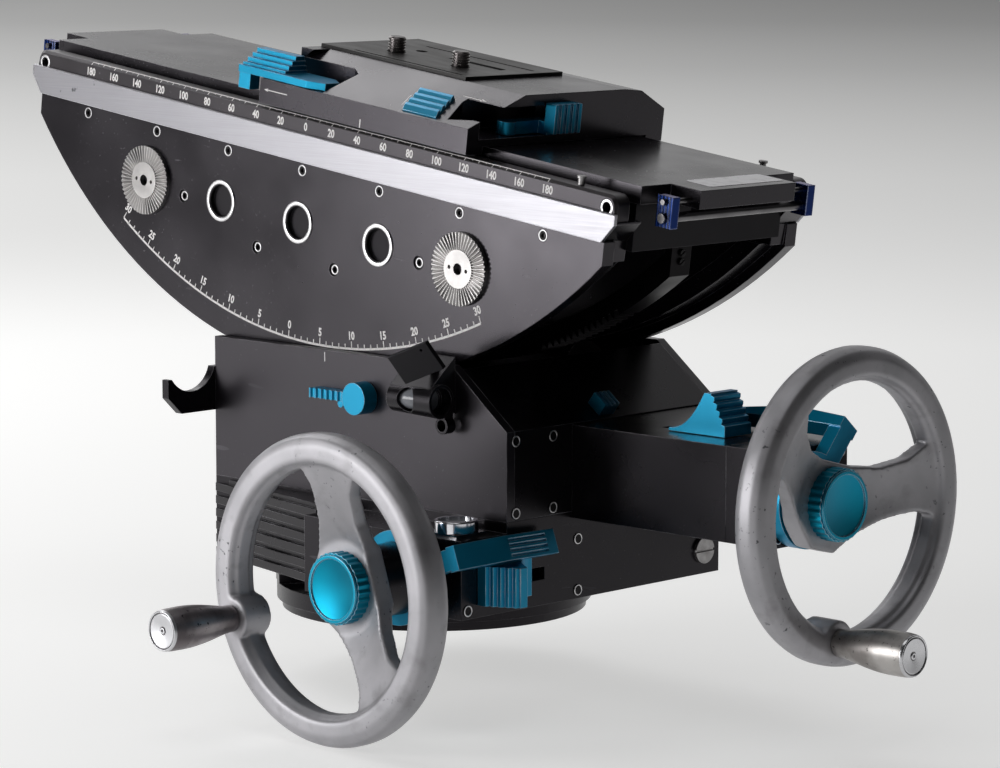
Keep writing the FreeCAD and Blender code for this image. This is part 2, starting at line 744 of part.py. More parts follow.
def tilt_lock_lever():
    y1 = body_left_y - gap
    y0 = y1 - lock_depth
    hub = rod("y", y0, y1, lock_x, lock_z, lock_r)
    pin = rod("y", y1, body_left_y + body_plate - 1.0, lock_x, lock_z, lock_pin_r)
    arm = box(lock_x - lock_len, lock_x, y1 - 7.6, y1, lock_z - 2.6, lock_z + 2.6)
    teeth = [rod("z", lock_z - 3, lock_z + 3, lock_x - lock_len + 2.5 + 4.2 * k, y1 - 7.8, 1.5)
             for k in range(6)]
    ball = rod("y", y1 - 4.0, y1, lock_x - 15.5, lock_z - 4.4, 2.2)
    save("tilt_lock_lever", fuse([hub, pin, cut(arm, teeth), ball]))


def gear_selector():
    """Thumb slide: stands on z = 0, steep stepped face towards +X, long hollow slope to the tail."""
    tail, apex_back, apex_front = -selector_len, -14.0, -9.0
    outline = [(0, gap), (tail, gap)]
    steps = 8
    for k in range(steps + 1):
        t = k / steps
        outline.append((tail + t * (apex_back - tail), 2.0 + (selector_h - 2.0) * t ** 2.2))
    outline.append((apex_front, selector_h))
    ridges = 5
    rise = (selector_h - 4.0) / ridges
    for k in range(ridges):
        x = apex_front * (1 - (k + 1) / ridges)
        top = selector_h - rise * k
        outline += [(x - 2.4, top - 0.8), (x, top - 1.6), (x, top - rise + 0.4)]
    wedge = prism("y", outline, -selector_w / 2, selector_w / 2)
    x0 = tail + 1.0
    half = selector_slot / 2 - 0.4
    tongue = box(x0, x0 + selector_tongue, -half, half, -case_wall - 2.0, gap)
    foot = box(x0, x0 + selector_tongue, -half - 2.5, half + 2.5, -case_wall - 3.5, -case_wall - gap)
    return fuse([wedge, tongue, foot])


def tilt_gear_selector():
    piece = gear_selector()
    piece.translate(V(tilt_selector_x, tilt_selector_y, tilt_shaft_z + case_up))
    save("tilt_gear_selector", piece)


def pan_gear_selector():
    piece = gear_selector()
    piece.rotate(V(0, 0, 0), V(0, 1, 0), 90)
    piece.rotate(V(0, 0, 0), V(1, 0, 0), -90)
    piece.translate(V(body_rear_x, pan_selector_y, pan_selector_z))
    save("pan_gear_selector", piece)


def release_lever(lean):
    """Collar about +Z, an arm lean degrees above +X, and a ribbed paddle running back along -Z."""
    collar = tube("z", 0, collar_len, 0, 0, barrel_r + collar_wall, barrel_r + running)
    half = release_w / 2
    arm = box(barrel_r + 2, release_out, 1 - half, half - 1, 0, collar_len)
    arm = arm.cut(rod("z", -1, collar_len + 1, 0, 0, barrel_r + 1))
    top, waist, end = collar_len, -release_len * 0.35, collar_len - release_len
    outline = [(release_in, top), (release_in + 1.0, waist), (release_in, end), (release_in + 2.5, end),
               (release_out + 2.5, waist), (release_out, top)]
    paddle = prism("y", outline, -half, half)
    grooves = []
    for k in range(4):
        y = -half + 1.9 + 2.7 * k
        grooves.append(prism("y", [(release_out + 4, waist - 2), (release_out + 0.6, waist - 2),
                                   (release_in + 2.8, end + 8), (release_in + 6, end + 8)], y, y + 1.1))
    piece = fuse([collar, arm, cut(paddle, grooves)])
    piece.rotate(V(0, 0, 0), V(0, 0, 1), lean)
    return piece


def pan_release_lever():
    piece = release_lever(pan_release_lean)
    piece.rotate(V(0, 0, 0), V(1, 0, 0), 90)
    piece.translate(V(pan_wheel_x, gearbox_left_y - pan_release_gap, pan_wheel_z))
    save("pan_release_lever", piece)


def tilt_release_lever():
    piece = release_lever(tilt_release_lean)
    piece.rotate(V(0, 0, 0), V(0, 1, 0), 90)
    piece.translate(V(case_end_x + tilt_release_gap, tilt_wheel_y, tilt_shaft_z))
    save("tilt_release_lever", piece)


# ---------------------------------------------------------------- rollers and drives
def roller(name, x):
    reach = body_right_y - body_plate + 3.0
    axle = rod("y", -reach, reach, x, roller_z, roller_axle_r)
    inner = plate_y - cradle_plate
    rims = [rod("y", s * (inner - 0.5), s * (inner - 0.5 - track_w + 1.0), x, roller_z, roller_r)
            for s in (-1, 1)]
    save(name, fuse([axle] + rims))


def tilt_drive_gear():
    mesh = atan2(tilt_axis_z - tilt_shaft_z, -tilt_gear_x)
    phase = mesh + pi / tilt_gear_teeth
    y0, y1 = tilt_gear_y, tilt_gear_y + tilt_gear_w
    wheel = spur("y", module_main, tilt_gear_teeth, y0, y1, tilt_gear_x, tilt_shaft_z, phase)
    web_cut = tube("y", y1 - 3, y1 + 1, tilt_gear_x, tilt_shaft_z, tilt_gear_pitch_r - 6, 14)
    reach = body_right_y - body_plate + 3.0
    axle = rod("y", -reach, reach, tilt_gear_x, tilt_shaft_z, shaft_r)
    crown = bevel(module_bevel, bevel_crown_teeth, bevel_pinion_teeth, bevel_face, crown_back,
                  pi / bevel_crown_teeth)
    crown.rotate(V(0, 0, 0), V(1, 0, 0), 90)
    crown.translate(V(tilt_gear_x, tilt_wheel_y, tilt_shaft_z))
    save("tilt_drive_gear", fuse([wheel.cut(web_cut), axle, crown]))


def tilt_wheel_shaft():
    small = bevel(module_bevel, bevel_pinion_teeth, bevel_crown_teeth, bevel_face, pinion_back, pi / 2)
    small.rotate(V(0, 0, 0), V(0, 1, 0), 90)
    small.translate(V(tilt_gear_x, tilt_wheel_y, tilt_shaft_z))
    start = tilt_gear_x + bevel_crown_r - bevel_face
    end = tilt_wheel_x - wheel_dish - 3
    shaft = rod("x", start, end, tilt_wheel_y, tilt_shaft_z, shaft_r)
    save("tilt_wheel_shaft", fuse([small, shaft]))


def pan_layshaft():
    small = bevel(module_bevel, bevel_pinion_teeth, bevel_crown_teeth, bevel_face, pinion_back, pi / 2)
    small.rotate(V(0, 0, 0), V(1, 0, 0), 90)
    small.translate(V(lay_x, pinion_y, pan_wheel_z))
    start = pinion_y - bevel_crown_r + bevel_face
    end = gearbox_left_y + 1.8
    shaft = rod("y", end, start, lay_x, pan_wheel_z, shaft_r)
    y0 = gearbox_left_y + cover_wall + 4
    gear = spur("y", module_lay, lay_gear_teeth, y0, y0 + lay_gear_w, lay_x, pan_wheel_z, pi / lay_gear_teeth)
    save("pan_layshaft", fuse([small, shaft, gear]))


def pan_wheel_shaft():
    y0 = gearbox_left_y + cover_wall + 4
    gear = spur("y", module_lay, lay_pinion_teeth, y0, y0 + lay_gear_w, pan_wheel_x, pan_wheel_z, pi)
    shaft = rod("y", pan_wheel_y + wheel_dish + 3, y0 + lay_gear_w + 2, pan_wheel_x,
                pan_wheel_z, shaft_r)
    save("pan_wheel_shaft", fuse([gear, shaft]))


def pan_drive_gear():
    mesh = atan2(-pinion_y, -lay_x)
    z0 = ring_gear_z
    pinion = spur("z", module_main, pan_pinion_teeth, z0, z0 + ring_gear_h, lay_x, pinion_y,
                  mesh + pi / pan_pinion_teeth)
    crown = bevel(module_bevel, bevel_crown_teeth, bevel_pinion_teeth, bevel_face, crown_back,
                  -pi / 2 + pi / bevel_crown_teeth)
    crown.translate(V(lay_x, pinion_y, pan_wheel_z))
    shaft = rod("z", base_height + 0.8 + gap, pan_wheel_z + bevel_pinion_r + 8, lay_x, pinion_y, shaft_r)
    save("pan_drive_gear", fuse([pinion, crown, shaft]))


# ---------------------------------------------------------------- handwheels
def through_wheel(r, x=0.0):
    """Cylinder of radius r that runs right through the wheel, for cutting."""
    return rod("z", -wheel_depth - wheel_dish - wheel_hub_len, wheel_depth, x, 0, r)


def wheel_window(points):
    """Opening in the web: an outline within the rim's inner circle."""
    low, high = -wheel_depth - wheel_dish - wheel_hub_len, wheel_depth
    return prism("z", points, low, high).common(through_wheel(wheel_r - wheel_rim - 2.0))


def handwheel():
    """Dished cast wheel about +Z, front of the rim at z = 0, small window towards +X."""
    inner_r = wheel_r - wheel_rim
    back = wheel_depth
    rim_profile = [V(inner_r + 1.5, 0, 0), V(wheel_r - 6, 0, 0), V(wheel_r - 1.8, 0, -1.8),
                   V(wheel_r, 0, -6), V(wheel_r, 0, -back + 6), V(wheel_r - 1.8, 0, -back + 1.8),
                   V(wheel_r - 6, 0, -back), V(inner_r + 2, 0, -back), V(inner_r, 0, -back + 2),
                   V(inner_r, 0, -1.5)]
    wires = Part.makePolygon(rim_profile + [rim_profile[0]])
    rim = Part.Face(wires).revolve(V(0, 0, 0), V(0, 0, 1), 360)
    hub_face = -3.0 - wheel_dish
    web_profile = [V(0, 0, hub_face), V(wheel_hub_r, 0, hub_face), V(inner_r + 1, 0, -3.0),
                   V(inner_r + 1, 0, -3.0 - wheel_web), V(wheel_hub_r + 4, 0, hub_face - wheel_web),
                   V(wheel_hub_r, 0, hub_face - wheel_hub_len), V(0, 0, hub_face - wheel_hub_len)]
    wires = Part.makePolygon(web_profile + [web_profile[0]])
    web = Part.Face(wires).revolve(V(0, 0, 0), V(0, 0, 1), 360)
    small = [(20.5, -12), (23, -28), (30, -41), (38, -47), (70, -70), (70, 70), (38, 47), (30, 41),
             (23, 28), (20.5, 12)]
    large = [(5, 70), (5, 54), (2, 46), (-3, 36), (-13, 22), (-wheel_hub_r, 9), (-wheel_hub_r, -9),
             (-13, -22), (-3, -36), (2, -46), (5, -54), (5, -70), (-70, -70), (-70, 70)]
    keep = through_wheel(wheel_hub_r - 3.5)
    web = cut(web, [wheel_window(small).cut(keep), wheel_window(large).cut(keep)])
    boss = rod("z", -wheel_depth, 0, -crank_r, 0, wheel_boss_r).common(through_wheel(wheel_r - 1))
    bores = [through_wheel(shaft_r), through_wheel(crank_pin_r + running, -crank_r)]
    return cut(fuse([rim, web, boss]), bores)


def wheel_knob():
    face = -3.0 - wheel_dish
    body = rod("z", face, face + wheel_knob_len, 0, 0, wheel_knob_r)
    top = face + wheel_knob_len
    body = body.makeChamfer(1.2, [e for e in body.Edges if abs(e.BoundBox.ZMin - top) < 0.01])
    dish = rod("z", face + wheel_knob_len - 0.6, face + wheel_knob_len + 1, 0, 0, wheel_knob_r - 2.9)
    notches = []
    for k in range(24):
        a = 2 * pi * k / 24
        notches.append(rod("z", face - 1, face + wheel_knob_len - 2.0, (wheel_knob_r + 0.7) * cos(a),
                           (wheel_knob_r + 0.7) * sin(a), 1.1))
    return cut(body, [dish] + notches)


def crank_handle():
    pin = rod("z", -wheel_depth + 1, 1.0, -crank_r, 0, crank_pin_r)
    collar = rod("z", gap, 5.0, -crank_r, 0, crank_root_r)
    grip = Part.makeCone(crank_root_r, crank_end_r, crank_len - 8, V(-crank_r, 0, 5.0), V(0, 0, 1))
    end = rod("z", crank_len - 3, crank_len + 1, -crank_r, 0, crank_end_r)
    piece = fuse([pin, collar, grip, end])
    socket = rod("z", crank_len - 2, crank_len + 2, -crank_r, 0, 2.0)
    return piece.cut(socket)


def at_pan_wheel(shape):
    shape = shape.copy()
    shape.rotate(V(0, 0, 0), V(0, 0, 1), pan_window_angle)
    shape.rotate(V(0, 0, 0), V(1, 0, 0), 90)
    shape.translate(V(pan_wheel_x, pan_wheel_y, pan_wheel_z))
    return shape


def at_tilt_wheel(shape):
    shape = shape.copy()
    shape.rotate(V(0, 0, 0), V(0, 0, 1), tilt_window_angle)
    shape.rotate(V(0, 0, 0), V(1, 0, 0), 90)
    shape.rotate(V(0, 0, 0), V(0, 0, 1), 90)
    shape.translate(V(tilt_wheel_x, tilt_wheel_y, tilt_shaft_z))
    return shape


# ---------------------------------------------------------------- cradle
def cradle_side(name, side):
    """Left plate, then mirrored for the right: a disc segment with a curved track inside."""
    y0, y1 = -plate_y, -plate_y + cradle_plate
    disc = rod("y", y0, y1, 0, 0, cradle_r)
    disc = disc.common(box(-cradle_half, cradle_half, y0 - 1, y1 + 1, -cradle_r - 1, rail_bottom_w))
    disc = disc.fuse(rail_body(y0, y1)).removeSplitter()
    track = tube("y", y1, y1 + track_w, 0, 0, track_r, track_r - track_depth)
    track = track.common(box(-cradle_half, cradle_half, y1, y1 + track_w, -cradle_r, rail_leg_w))
    holes = [rod("y", y0 - 1, y1 - port_floor, u, port_w, port_r) for u in (-port_u, 0, port_u)]
    holes += [rod("y", y0 - 1, y0 + 1.2, k * plate_screw_pitch, plate_screw_w, screw_head_r)
              for k in range(-3, 4)]
    for u, w in bolts:
        holes += [rod("y", y0 - 1, y0 + 2.0, s * u, w, bolt_head_r) for s in (-1, 1)]
    plate = cut(disc.fuse(track).removeSplitter(), holes)
    plate = plate if side < 0 else mirrored(plate)
    save(name, in_cradle(plate))


def rail_ends(y0, y1):
    """What is cut off both ends of a rail, so that they slope like the plate below."""
    nose = rail_top_w - rail_nose
    foot = rail_leg_w - 5
    return [prism("y", [(s * rail_half, nose), (s * (rail_half + 9), nose), (s * (rail_half + 9), foot),
                        (s * (rail_half - rail_leg_rake), foot),
                        (s * (rail_half - rail_rake), rail_bottom_w)], y0, y1) for s in (-1, 1)]


def rail_body(y0, y1):
    """Thick upper edge of a cradle plate, with an inner leg that the cross members meet."""
    top = rail_top_w - strip_foot
    section = [(y0, rail_bottom_w), (y0, top), (y1 + rail_leg, top), (y1 + rail_leg, rail_leg_w),
               (y1, rail_leg_w), (y1, rail_bottom_w)]
    body = prism("x", section, -rail_half, rail_half)
    return cut(body, rail_ends(y0 - 10, y1 + rail_leg + 5))


def side_rails():
    y0 = -plate_y - rail_proud
    rail = box(-rail_half, rail_half, y0, -plate_y, rail_bottom_w, rail_top_w)
    rail = cut(rail, rail_ends(y0 - 10, -plate_y + 5))
    save("side_rails", in_cradle(rail), in_cradle(mirrored(rail)))


def scale_strips():
    y0, y1 = -plate_y, -plate_y + strip_t
    foot_w = rail_top_w - strip_foot
    strip = box(-cradle_half, cradle_half, y0, y1, foot_w, strip_top_w)
    for s in (-1, 1):
        end = rod("y", y0, y1, s * cradle_half, strip_top_w - strip_end_r, strip_end_r)
        end = end.fuse(box(min(0, s * strip_end_r), max(0, s * strip_end_r), 0, strip_t, 0,
                           strip_top_w - strip_end_r - foot_w).translate(V(s * cradle_half, y0, foot_w)))
        strip = strip.fuse(end)
    holes = []
    for s in (-1, 1):
        holes.append(rod("y", y0 - 1, y0 + 6, s * strip_ring_u, strip_ring_w, strip_hole_r))
        holes.append(rod("y", y0 - 1, y0 + 1.2, s * strip_ring_u, strip_ring_w, strip_ring_r))
    strip = cut(strip.removeSplitter(), holes)
    save("scale_strips", in_cradle(strip), in_cradle(mirrored(strip)))


def slide_bed():
    half, tongue = bed_w / 2, bed_tongue_w / 2
    wide = box(-rail_half, rail_half, -half, half, bed_bottom_w, bed_top_w)
    tongues = box(-bed_half, bed_half, -tongue, tongue, bed_bottom_w, bed_top_w)
    plate = wide.fuse(tongues).removeSplitter()
    ribs = [box(-cross_u[0], cross_u[0], s * bed_rib_y - bed_rib / 2, s * bed_rib_y + bed_rib / 2,
                bed_bottom_w - bed_rib_h, bed_bottom_w) for s in (-1, 1)]
    lugs = []
    for s in (-1, 1):
        inner = s * (catch_u - catch_rod_r - 6)
        for y in (-20, 20):
            lug = box(min(inner, s * catch_u), max(inner, s * catch_u), y - 5, y + 5,
                      catch_rod_w - catch_rod_r, bed_bottom_w)
            lugs.append(lug.cut(rod("y", y - 6, y + 6, s * catch_u, catch_rod_w, catch_rod_r)))
    save("slide_bed", in_cradle(fuse([plate] + ribs + lugs)))


def cross_members():
    inner = plate_y - cradle_plate - rail_leg
    a, b = cross_u
    bar = box(a, b, -inner, inner, cross_bottom_w, bed_bottom_w)
    pocket = box(a + 4, b - 4, -inner + 6, inner - 6, cross_bottom_w + 5, bed_bottom_w - 4)
    strap_seat = box(a + 1, b - 4, sector_y - sector_w, sector_y + sector_w, cross_bottom_w, bed_bottom_w)
    bar = bar.cut(pocket).fuse(strap_seat).removeSplitter()
    save("cross_members", in_cradle(bar), in_cradle(bar.mirror(V(0, 0, 0), V(1, 0, 0))))


def tilt_sector():
    """Toothed strap between the plates; both ends turn up and are screwed to the cross members."""
    y0, y1 = sector_y - sector_w / 2, sector_y + sector_w / 2
    inner_r = sector_root_r - sector_back
    blank = tube("y", y0, y1, 0, 0, sector_r, inner_r)
    blank = blank.common(box(-cross_u[0], cross_u[0], y0, y1, -sector_r, 0))
    reach = radians(sector_tooth_angle)
    toothed = prism("y", [(0, 0), (-2 * sector_r * tan(reach), -2 * sector_r),
                          (2 * sector_r * tan(reach), -2 * sector_r)], y0 - 1, y1 + 1)
    blank = blank.cut(toothed.cut(rod("y", y0 - 1, y1 + 1, 0, 0, sector_root_r)))
    mesh = atan2(tilt_shaft_z - tilt_axis_z, tilt_gear_x) + radians(rest_tilt)
    count = int(sector_tooth_angle / 180 * sector_teeth)
    nearest = round((-pi / 2 - mesh) / (2 * pi / sector_teeth))
    row = tooth_row(module_main, sector_teeth, nearest - count // 2, count, mesh)
    bed_r = sector_root_r - 1.0
    for x, z in (row[-1], row[0]):
        scale = bed_r / hypot(x, z)
        row.append((x * scale, z * scale))
    teeth = prism("y", row, y0, y1).cut(rod("y", y0 - 1, y1 + 1, 0, 0, bed_r))
    tab_low = min(sector_end_w, cross_bottom_w - sector_tab_drop)
    tabs = [box(min(s * (cross_u[0] - sector_tab_t), s * cross_u[0]),
                max(s * (cross_u[0] - sector_tab_t), s * cross_u[0]), y0, y1, tab_low,
                cross_bottom_w + sector_tab_overlap) for s in (-1, 1)]
    save("tilt_sector", in_cradle(fuse([blank, teeth] + tabs)))


def rosette_groove():
    """Radial V groove along +X in a face that looks towards -Y; it widens outwards."""
    face, deep = -rosette_t - 0.2, -rosette_t + 0.9
    sections = []
    for r in (rosette_boss_r + 0.4, rosette_r + 1.0):
        half = 0.48 * 2 * pi * r / rosette_teeth
        corners = [V(r, face, -half), V(r, deep, 0), V(r, face, half)]
        sections.append(Part.makePolygon(corners + [corners[0]]))
    return Part.makeLoft(sections, True, True)


def rosettes():
    disc = rod("y", -rosette_t, 0, 0, 0, rosette_r)
    grooves = []
    for k in range(rosette_teeth):
        groove = rosette_groove()
        groove.rotate(V(0, 0, 0), V(0, 1, 0), 360.0 / rosette_teeth * k)
        grooves.append(groove)
    bore = rod("y", -rosette_t - 1, 1, 0, 0, rosette_bore_r)
    pins = [rod("y", -rosette_t - 1, -rosette_t + 1.5, s * rosette_pin_u, 0, 1.0) for s in (-1, 1)]
    disc = cut(disc.cut(Part.makeCompound(grooves)), [bore] + pins)
    pieces = []
    for u in (-rosette_u, rosette_u):
        left = disc.copy()
        left.translate(V(u, -plate_y, port_w))
        pieces += [left, mirrored(left)]
    save("rosettes", *[in_cradle(p) for p in pieces])


def cradle_screws():
    left = []
    y0 = -plate_y
    for k in range(-3, 4):
        left.append(tube("y", y0 + 0.2, y0 + 1.2, k * plate_screw_pitch, plate_screw_w, screw_head_r, 1.2))
    for u, w in bolts:
        for s in (-1, 1):
            left.append(tube("y", y0 + 0.8, y0 + 2.0, s * u, w, bolt_head_r, 1.3))
    for s in (-1, 1):
        left.append(tube("y", y0 + 0.2, y0 + 1.2, s * strip_ring_u, strip_ring_w, strip_ring_r, strip_hole_r))
    left.append(rod("z", strip_top_w, strip_top_w + 3.6, stop_pin_u, -stop_pin_y, stop_pin_r))
    left.append(rod("z", strip_top_w + 3.6, strip_top_w + 4.8, stop_pin_u, -stop_pin_y, stop_pin_r + 0.7))
    both = left + [mirrored(p) for p in left]
    strap = [slotted_head(s, cross_bottom_w - drop) for s in (-1, 1) for drop in strap_screw_drop]
    save("cradle_screws", *[in_cradle(p) for p in both + strap])


def slotted_head(side, w):
    """Screw head on the outer face of one of the strap's tabs, its slot turned a little."""
    face = side * cross_u[0]
    head = rod("x", face, face + side * strap_screw_t, sector_y, w, strap_screw_r)
    slot = box(-1, 1, -3, 3, -0.4, 0.4)
    slot.rotate(V(0, 0, 0), V(1, 0, 0), 35)
    slot.translate(V(face + side * (strap_screw_t + 0.5), sector_y, w))
    return head.cut(slot)


def catch_rods():
    """Rod through both catches of an end, and above it a guide pin for each in the bed's tongue."""
    reach = catch_y + catch_size[1] / 2 + 2.0
    rods = [rod("y", -reach, reach, s * catch_u, catch_rod_w, catch_rod_r) for s in (-1, 1)]
    for s in (-1, 1):
        for y0, y1 in ((-reach, -bed_tongue_w / 2), (bed_tongue_w / 2, reach)):
            rods.append(rod("y", y0, y1, s * catch_u, catch_pin_w, catch_pin_r))
    save("catch_rods", *[in_cradle(p) for p in rods])


def catch_button(name, end, side):
    length, thick, tall = catch_size
    u0, u1 = catch_u - length / 2, catch_u + length / 2
    top = catch_rod_w + catch_rise
    block = box(u0, u1, -catch_y - thick / 2, -catch_y + thick / 2, top - tall, top)
    ribs = [box(u0 + 1.0 + 2.3 * k, u0 + 2.1 + 2.3 * k, -catch_y - thick / 2 - 1, -catch_y - thick / 2 + 0.7,
                top - tall - 1, top + 1) for k in range(4)]
    bore = rod("y", -catch_y - thick, -catch_y + thick, catch_u, catch_rod_w, catch_rod_r + running)
    guide = rod("y", -catch_y - thick, -catch_y + thick, catch_u, catch_pin_w, catch_pin_r + running)
    block = cut(block, ribs + [bore, guide])
    if end < 0:
        block = block.mirror(V(0, 0, 0), V(1, 0, 0))
    if side > 0:
        block = mirrored(block)
    save(name, in_cradle(block))


# ---------------------------------------------------------------- camera block on the slide
def camera_block():
    left, right = -plate_y, plate_y + 1.0
    section = [(left, block_bottom_w), (left, block_shoulder_w), (block_flat_left_y, block_top_w),
               (block_flat_right_y, block_top_w), (block_flat_right_y + 13, block_top_w - 1.3),
               (right, block_right_shoulder_w), (right, block_bottom_w)]
    body = prism("x", section, block_u0, block_u1)
    brow_end = block_u0 + block_brow
    brow = prism("y", [(block_u0, block_shoulder_w), (brow_end - 7.0, block_shoulder_w),
                       (brow_end - 7.0, block_top_w - 5.0), (brow_end, block_top_w),
                       (block_u0, block_top_w)], -46.0, block_flat_left_y)
    body = body.fuse(brow).removeSplitter()
    room = box(block_u0 - 1, block_u1 + 1, left + 12.0, plate_y - 12.0, block_bottom_w - 1, bed_top_w + gap)
    cavity = box(block_u0 + 10, block_u1 - 34, -24, 50, bed_top_w - 1, block_top_w - block_wall)
    cuts = [room, cavity, lever_pocket(), release_pocket(), safety_well()]
    for u in camera_screw_u:
        cuts.append(rod("z", block_bottom_w, block_top_w + 1, u, camera_screw_y, camera_screw_r + running))
    cuts.append(rod("z", block_shoulder_w - lever_pivot_depth, block_top_w + 5, lever_pivot_u, lever_pivot_y,
                    lever_pivot_r + running))
    floor = block_shoulder_w - release_floor
    cuts.append(rod("z", floor - release_pin_depth - gap, floor + 1, release_pivot_u, release_pivot_y,
                    release_pivot_r + running))
    save("camera_block", in_cradle(cut(body, cuts)))


def lever_pocket():
    """Step cut in the sloped left shoulder at the front end, for the slide lock lever."""
    u1 = lever_pivot_u + 9
    outline = [(block_u0 - 1, -plate_y - 1), (u1 - 1.5, -plate_y - 1), (u1, -50.0), (u1 - 7, -46.0),
               (block_u0 - 1, -46.0)]
    return prism("z", outline, block_shoulder_w, block_top_w + 1)


def release_pocket():
    """Hollow at the rear end, open through the left slope, for the release lever."""
    u1 = block_u1 + 1
    inner, low, mouth = [-plate_y + y for y in pocket_y]
    outline = [(block_u1 - 27, inner), (block_u1 - 19, low), (block_u1 - 5, mouth), (u1, mouth),
               (u1, 6.0), (block_u1 - 22, 6.0), (block_u1 - 26, 2.0)]
    return prism("z", outline, block_shoulder_w - release_floor, block_top_w - 6.0)


def on_left_slope(shape):
    """Move a piece drawn on the level onto the sloped left shoulder of the block."""
    shape = shape.copy()
    shape.rotate(V(0, 0, 0), V(1, 0, 0), block_lean)
    shape.translate(V(safety_u, (block_flat_left_y - plate_y) / 2 - 8.0,
                      (block_top_w + block_shoulder_w) / 2 - 8.0 * tan(radians(block_lean))))
    return shape


def safety_outline(grow):
    """Slanted outline, parallel to the edge of the pocket beside it."""
    a, b, s = safety_size[0] / 2 + grow, safety_size[1] / 2 + grow, safety_skew / 2
    return [(-a + s, -b), (a + s, -b), (a - s, b), (-a - s, b)]


def safety_well():
    return on_left_slope(prism("z", safety_outline(gap), -7.5, 5))


def safety_button():
    body = prism("z", safety_outline(0), -4.4, 2.2)
    b = safety_size[1] / 2
    pitch = 2 * b / 4
    steps = [prism("x", [(-b + pitch * k - 0.01, 3.2), (-b + pitch * k - 0.01, 0.7),
                         (-b + pitch * (k + 1), 3.2)], -30, 30) for k in range(4)]
    save("safety_button", in_cradle(on_left_slope(cut(body, steps))))


def slide_lock_lever():
    """Long thumb lever lying on the left shoulder, turning about a pin near its rear end."""
    w0 = block_shoulder_w + gap
    y0 = -plate_y + 0.5
    front, grip_u1 = block_u0 - lever_overhang, -24.0
    arm = prism("z", [(front, y0 + 1), (lever_pivot_u - 6, y0), (lever_pivot_u + 5, y0 + 4),
                      (lever_pivot_u + 5, y0 + 14), (lever_pivot_u - 4, y0 + 20), (front, y0 + 20)],
                w0, w0 + 4.0)
    steps = []
    for k in range(4):
        y = y0 + 4.0 + lever_step[0] * k
        steps.append(box(front, grip_u1 - k, y, y0 + 20, w0 + 3.0 + lever_step[1] * k,
                         w0 + 5.4 + lever_step[1] * k))
    foot = box(front + 1, front + 10.0, y0 + 1, y0 + 8, w0 - 8.5, w0 + 1)
    pin = rod("z", block_shoulder_w - lever_pivot_depth + gap, w0 + 1, lever_pivot_u, lever_pivot_y,
              lever_pivot_r)
    save("slide_lock_lever", in_cradle(fuse([arm, foot, pin] + steps)))


def slide_release_lever():
    """Finger lever in the rear pocket: hub and pin, arm along the end face, ribbed grip outside."""
    floor = block_shoulder_w - release_floor
    w0, w1 = floor + gap, floor + gap + 7.0
    y0, y1 = release_grip_y
    hub = rod("z", w0, w1, release_pivot_u, release_pivot_y, 5.0)
    arm = box(release_pivot_u - 3.5, release_pivot_u + 3.5, release_pivot_y, y0 + 6.0, w0, w1)
    neck = box(release_pivot_u - 3.5, block_u1 + 2.0, y0 + 1.0, y0 + 8.0, w0, w1)
    grip = box(block_u1 + 0.6, block_u1 + 8.0, y0, y1, w0 + 1.5, w0 + 17.0)
    grooves = [box(block_u1 + 6.8, block_u1 + 9, y0 + 2.2 + 4.4 * k, y0 + 4.4 + 4.4 * k, w0 - 2, w0 + 18)
               for k in range(4)]
    pin = rod("z", floor - release_pin_depth, w0, release_pivot_u, release_pivot_y, release_pivot_r)
    save("release_lever", in_cradle(fuse([hub, arm, neck, cut(grip, grooves), pin])))


def slide_gibs():
    leg_out = plate_y - strip_t - 0.9
    edge = bed_w / 2
    lip_top = bed_bottom_w - 0.5
    lip_in = edge - 4.0
    top = block_bottom_w
    outline = [(-leg_out, top), (-leg_out, lip_top - gib_lip), (-lip_in, lip_top - gib_lip),
               (-lip_in, lip_top), (-leg_out + gib_leg, lip_top), (-leg_out + gib_leg, top)]
    gib = prism("x", outline, block_u0 + 4, block_u1 - 4)
    save("slide_gibs", in_cradle(gib), in_cradle(mirrored(gib)))


def rubber_pad():
    u0, u1 = block_u0 + 1.0, block_u1 - 46.0
    y0, y1 = block_flat_left_y + 1.0, block_flat_right_y - 1.0
    w0, w1 = block_top_w, block_top_w + pad_t
    pad = box(u0, u1, y0, y1, w0, w1)
    cuts = [rod("z", w0 - 1, w1 + 1, u, camera_screw_y, camera_screw_r + 0.5) for u in camera_screw_u]
    slot_v = camera_screw_y + pad_slot_off
    cuts.append(rod("z", w0 - 1, w1 + 1, camera_screw_u[0] + 3, slot_v, pad_slot_w / 2 + 0.7))
    cuts.append(box(pad_slot_u[0], pad_slot_u[1], slot_v - pad_slot_w / 2, slot_v + pad_slot_w / 2,
                    w0 - 1, w1 + 1))
    for y in pad_groove_y:
        cuts.append(box(u0 + pad_groove_in, u1 - 6, y - 1, y + 1, w1 - 0.8, w1 + 1))
    save("rubber_pad", in_cradle(cut(pad, cuts)))


def camera_screw(name, u):
    """Captive screw: head in the block's hollow, relieved neck, thread only above the pad."""
    pad_top = block_top_w + pad_t
    top = pad_top + camera_screw_h
    stud = rod("z", pad_top, top, u, camera_screw_y, camera_screw_r)
    stud = stud.makeChamfer(0.8, [e for e in stud.Edges if abs(e.BoundBox.ZMin - top) < 0.01])
    neck = rod("z", block_top_w - block_wall - 3.0, pad_top, u, camera_screw_y, camera_screw_neck_r)
    head = rod("z", block_top_w - block_wall - 7.0, block_top_w - block_wall - gap, u, camera_screw_y, 9.0)
    rings = []
    pitch = 1.5
    for k in range(4):
        z = top - 2.3 - pitch * k
        rings.append(tube("z", z, z + 0.6, u, camera_screw_y, camera_screw_r + 1, camera_screw_r - 0.6))
    save(name, in_cradle(cut(fuse([stud, neck, head]), rings)))


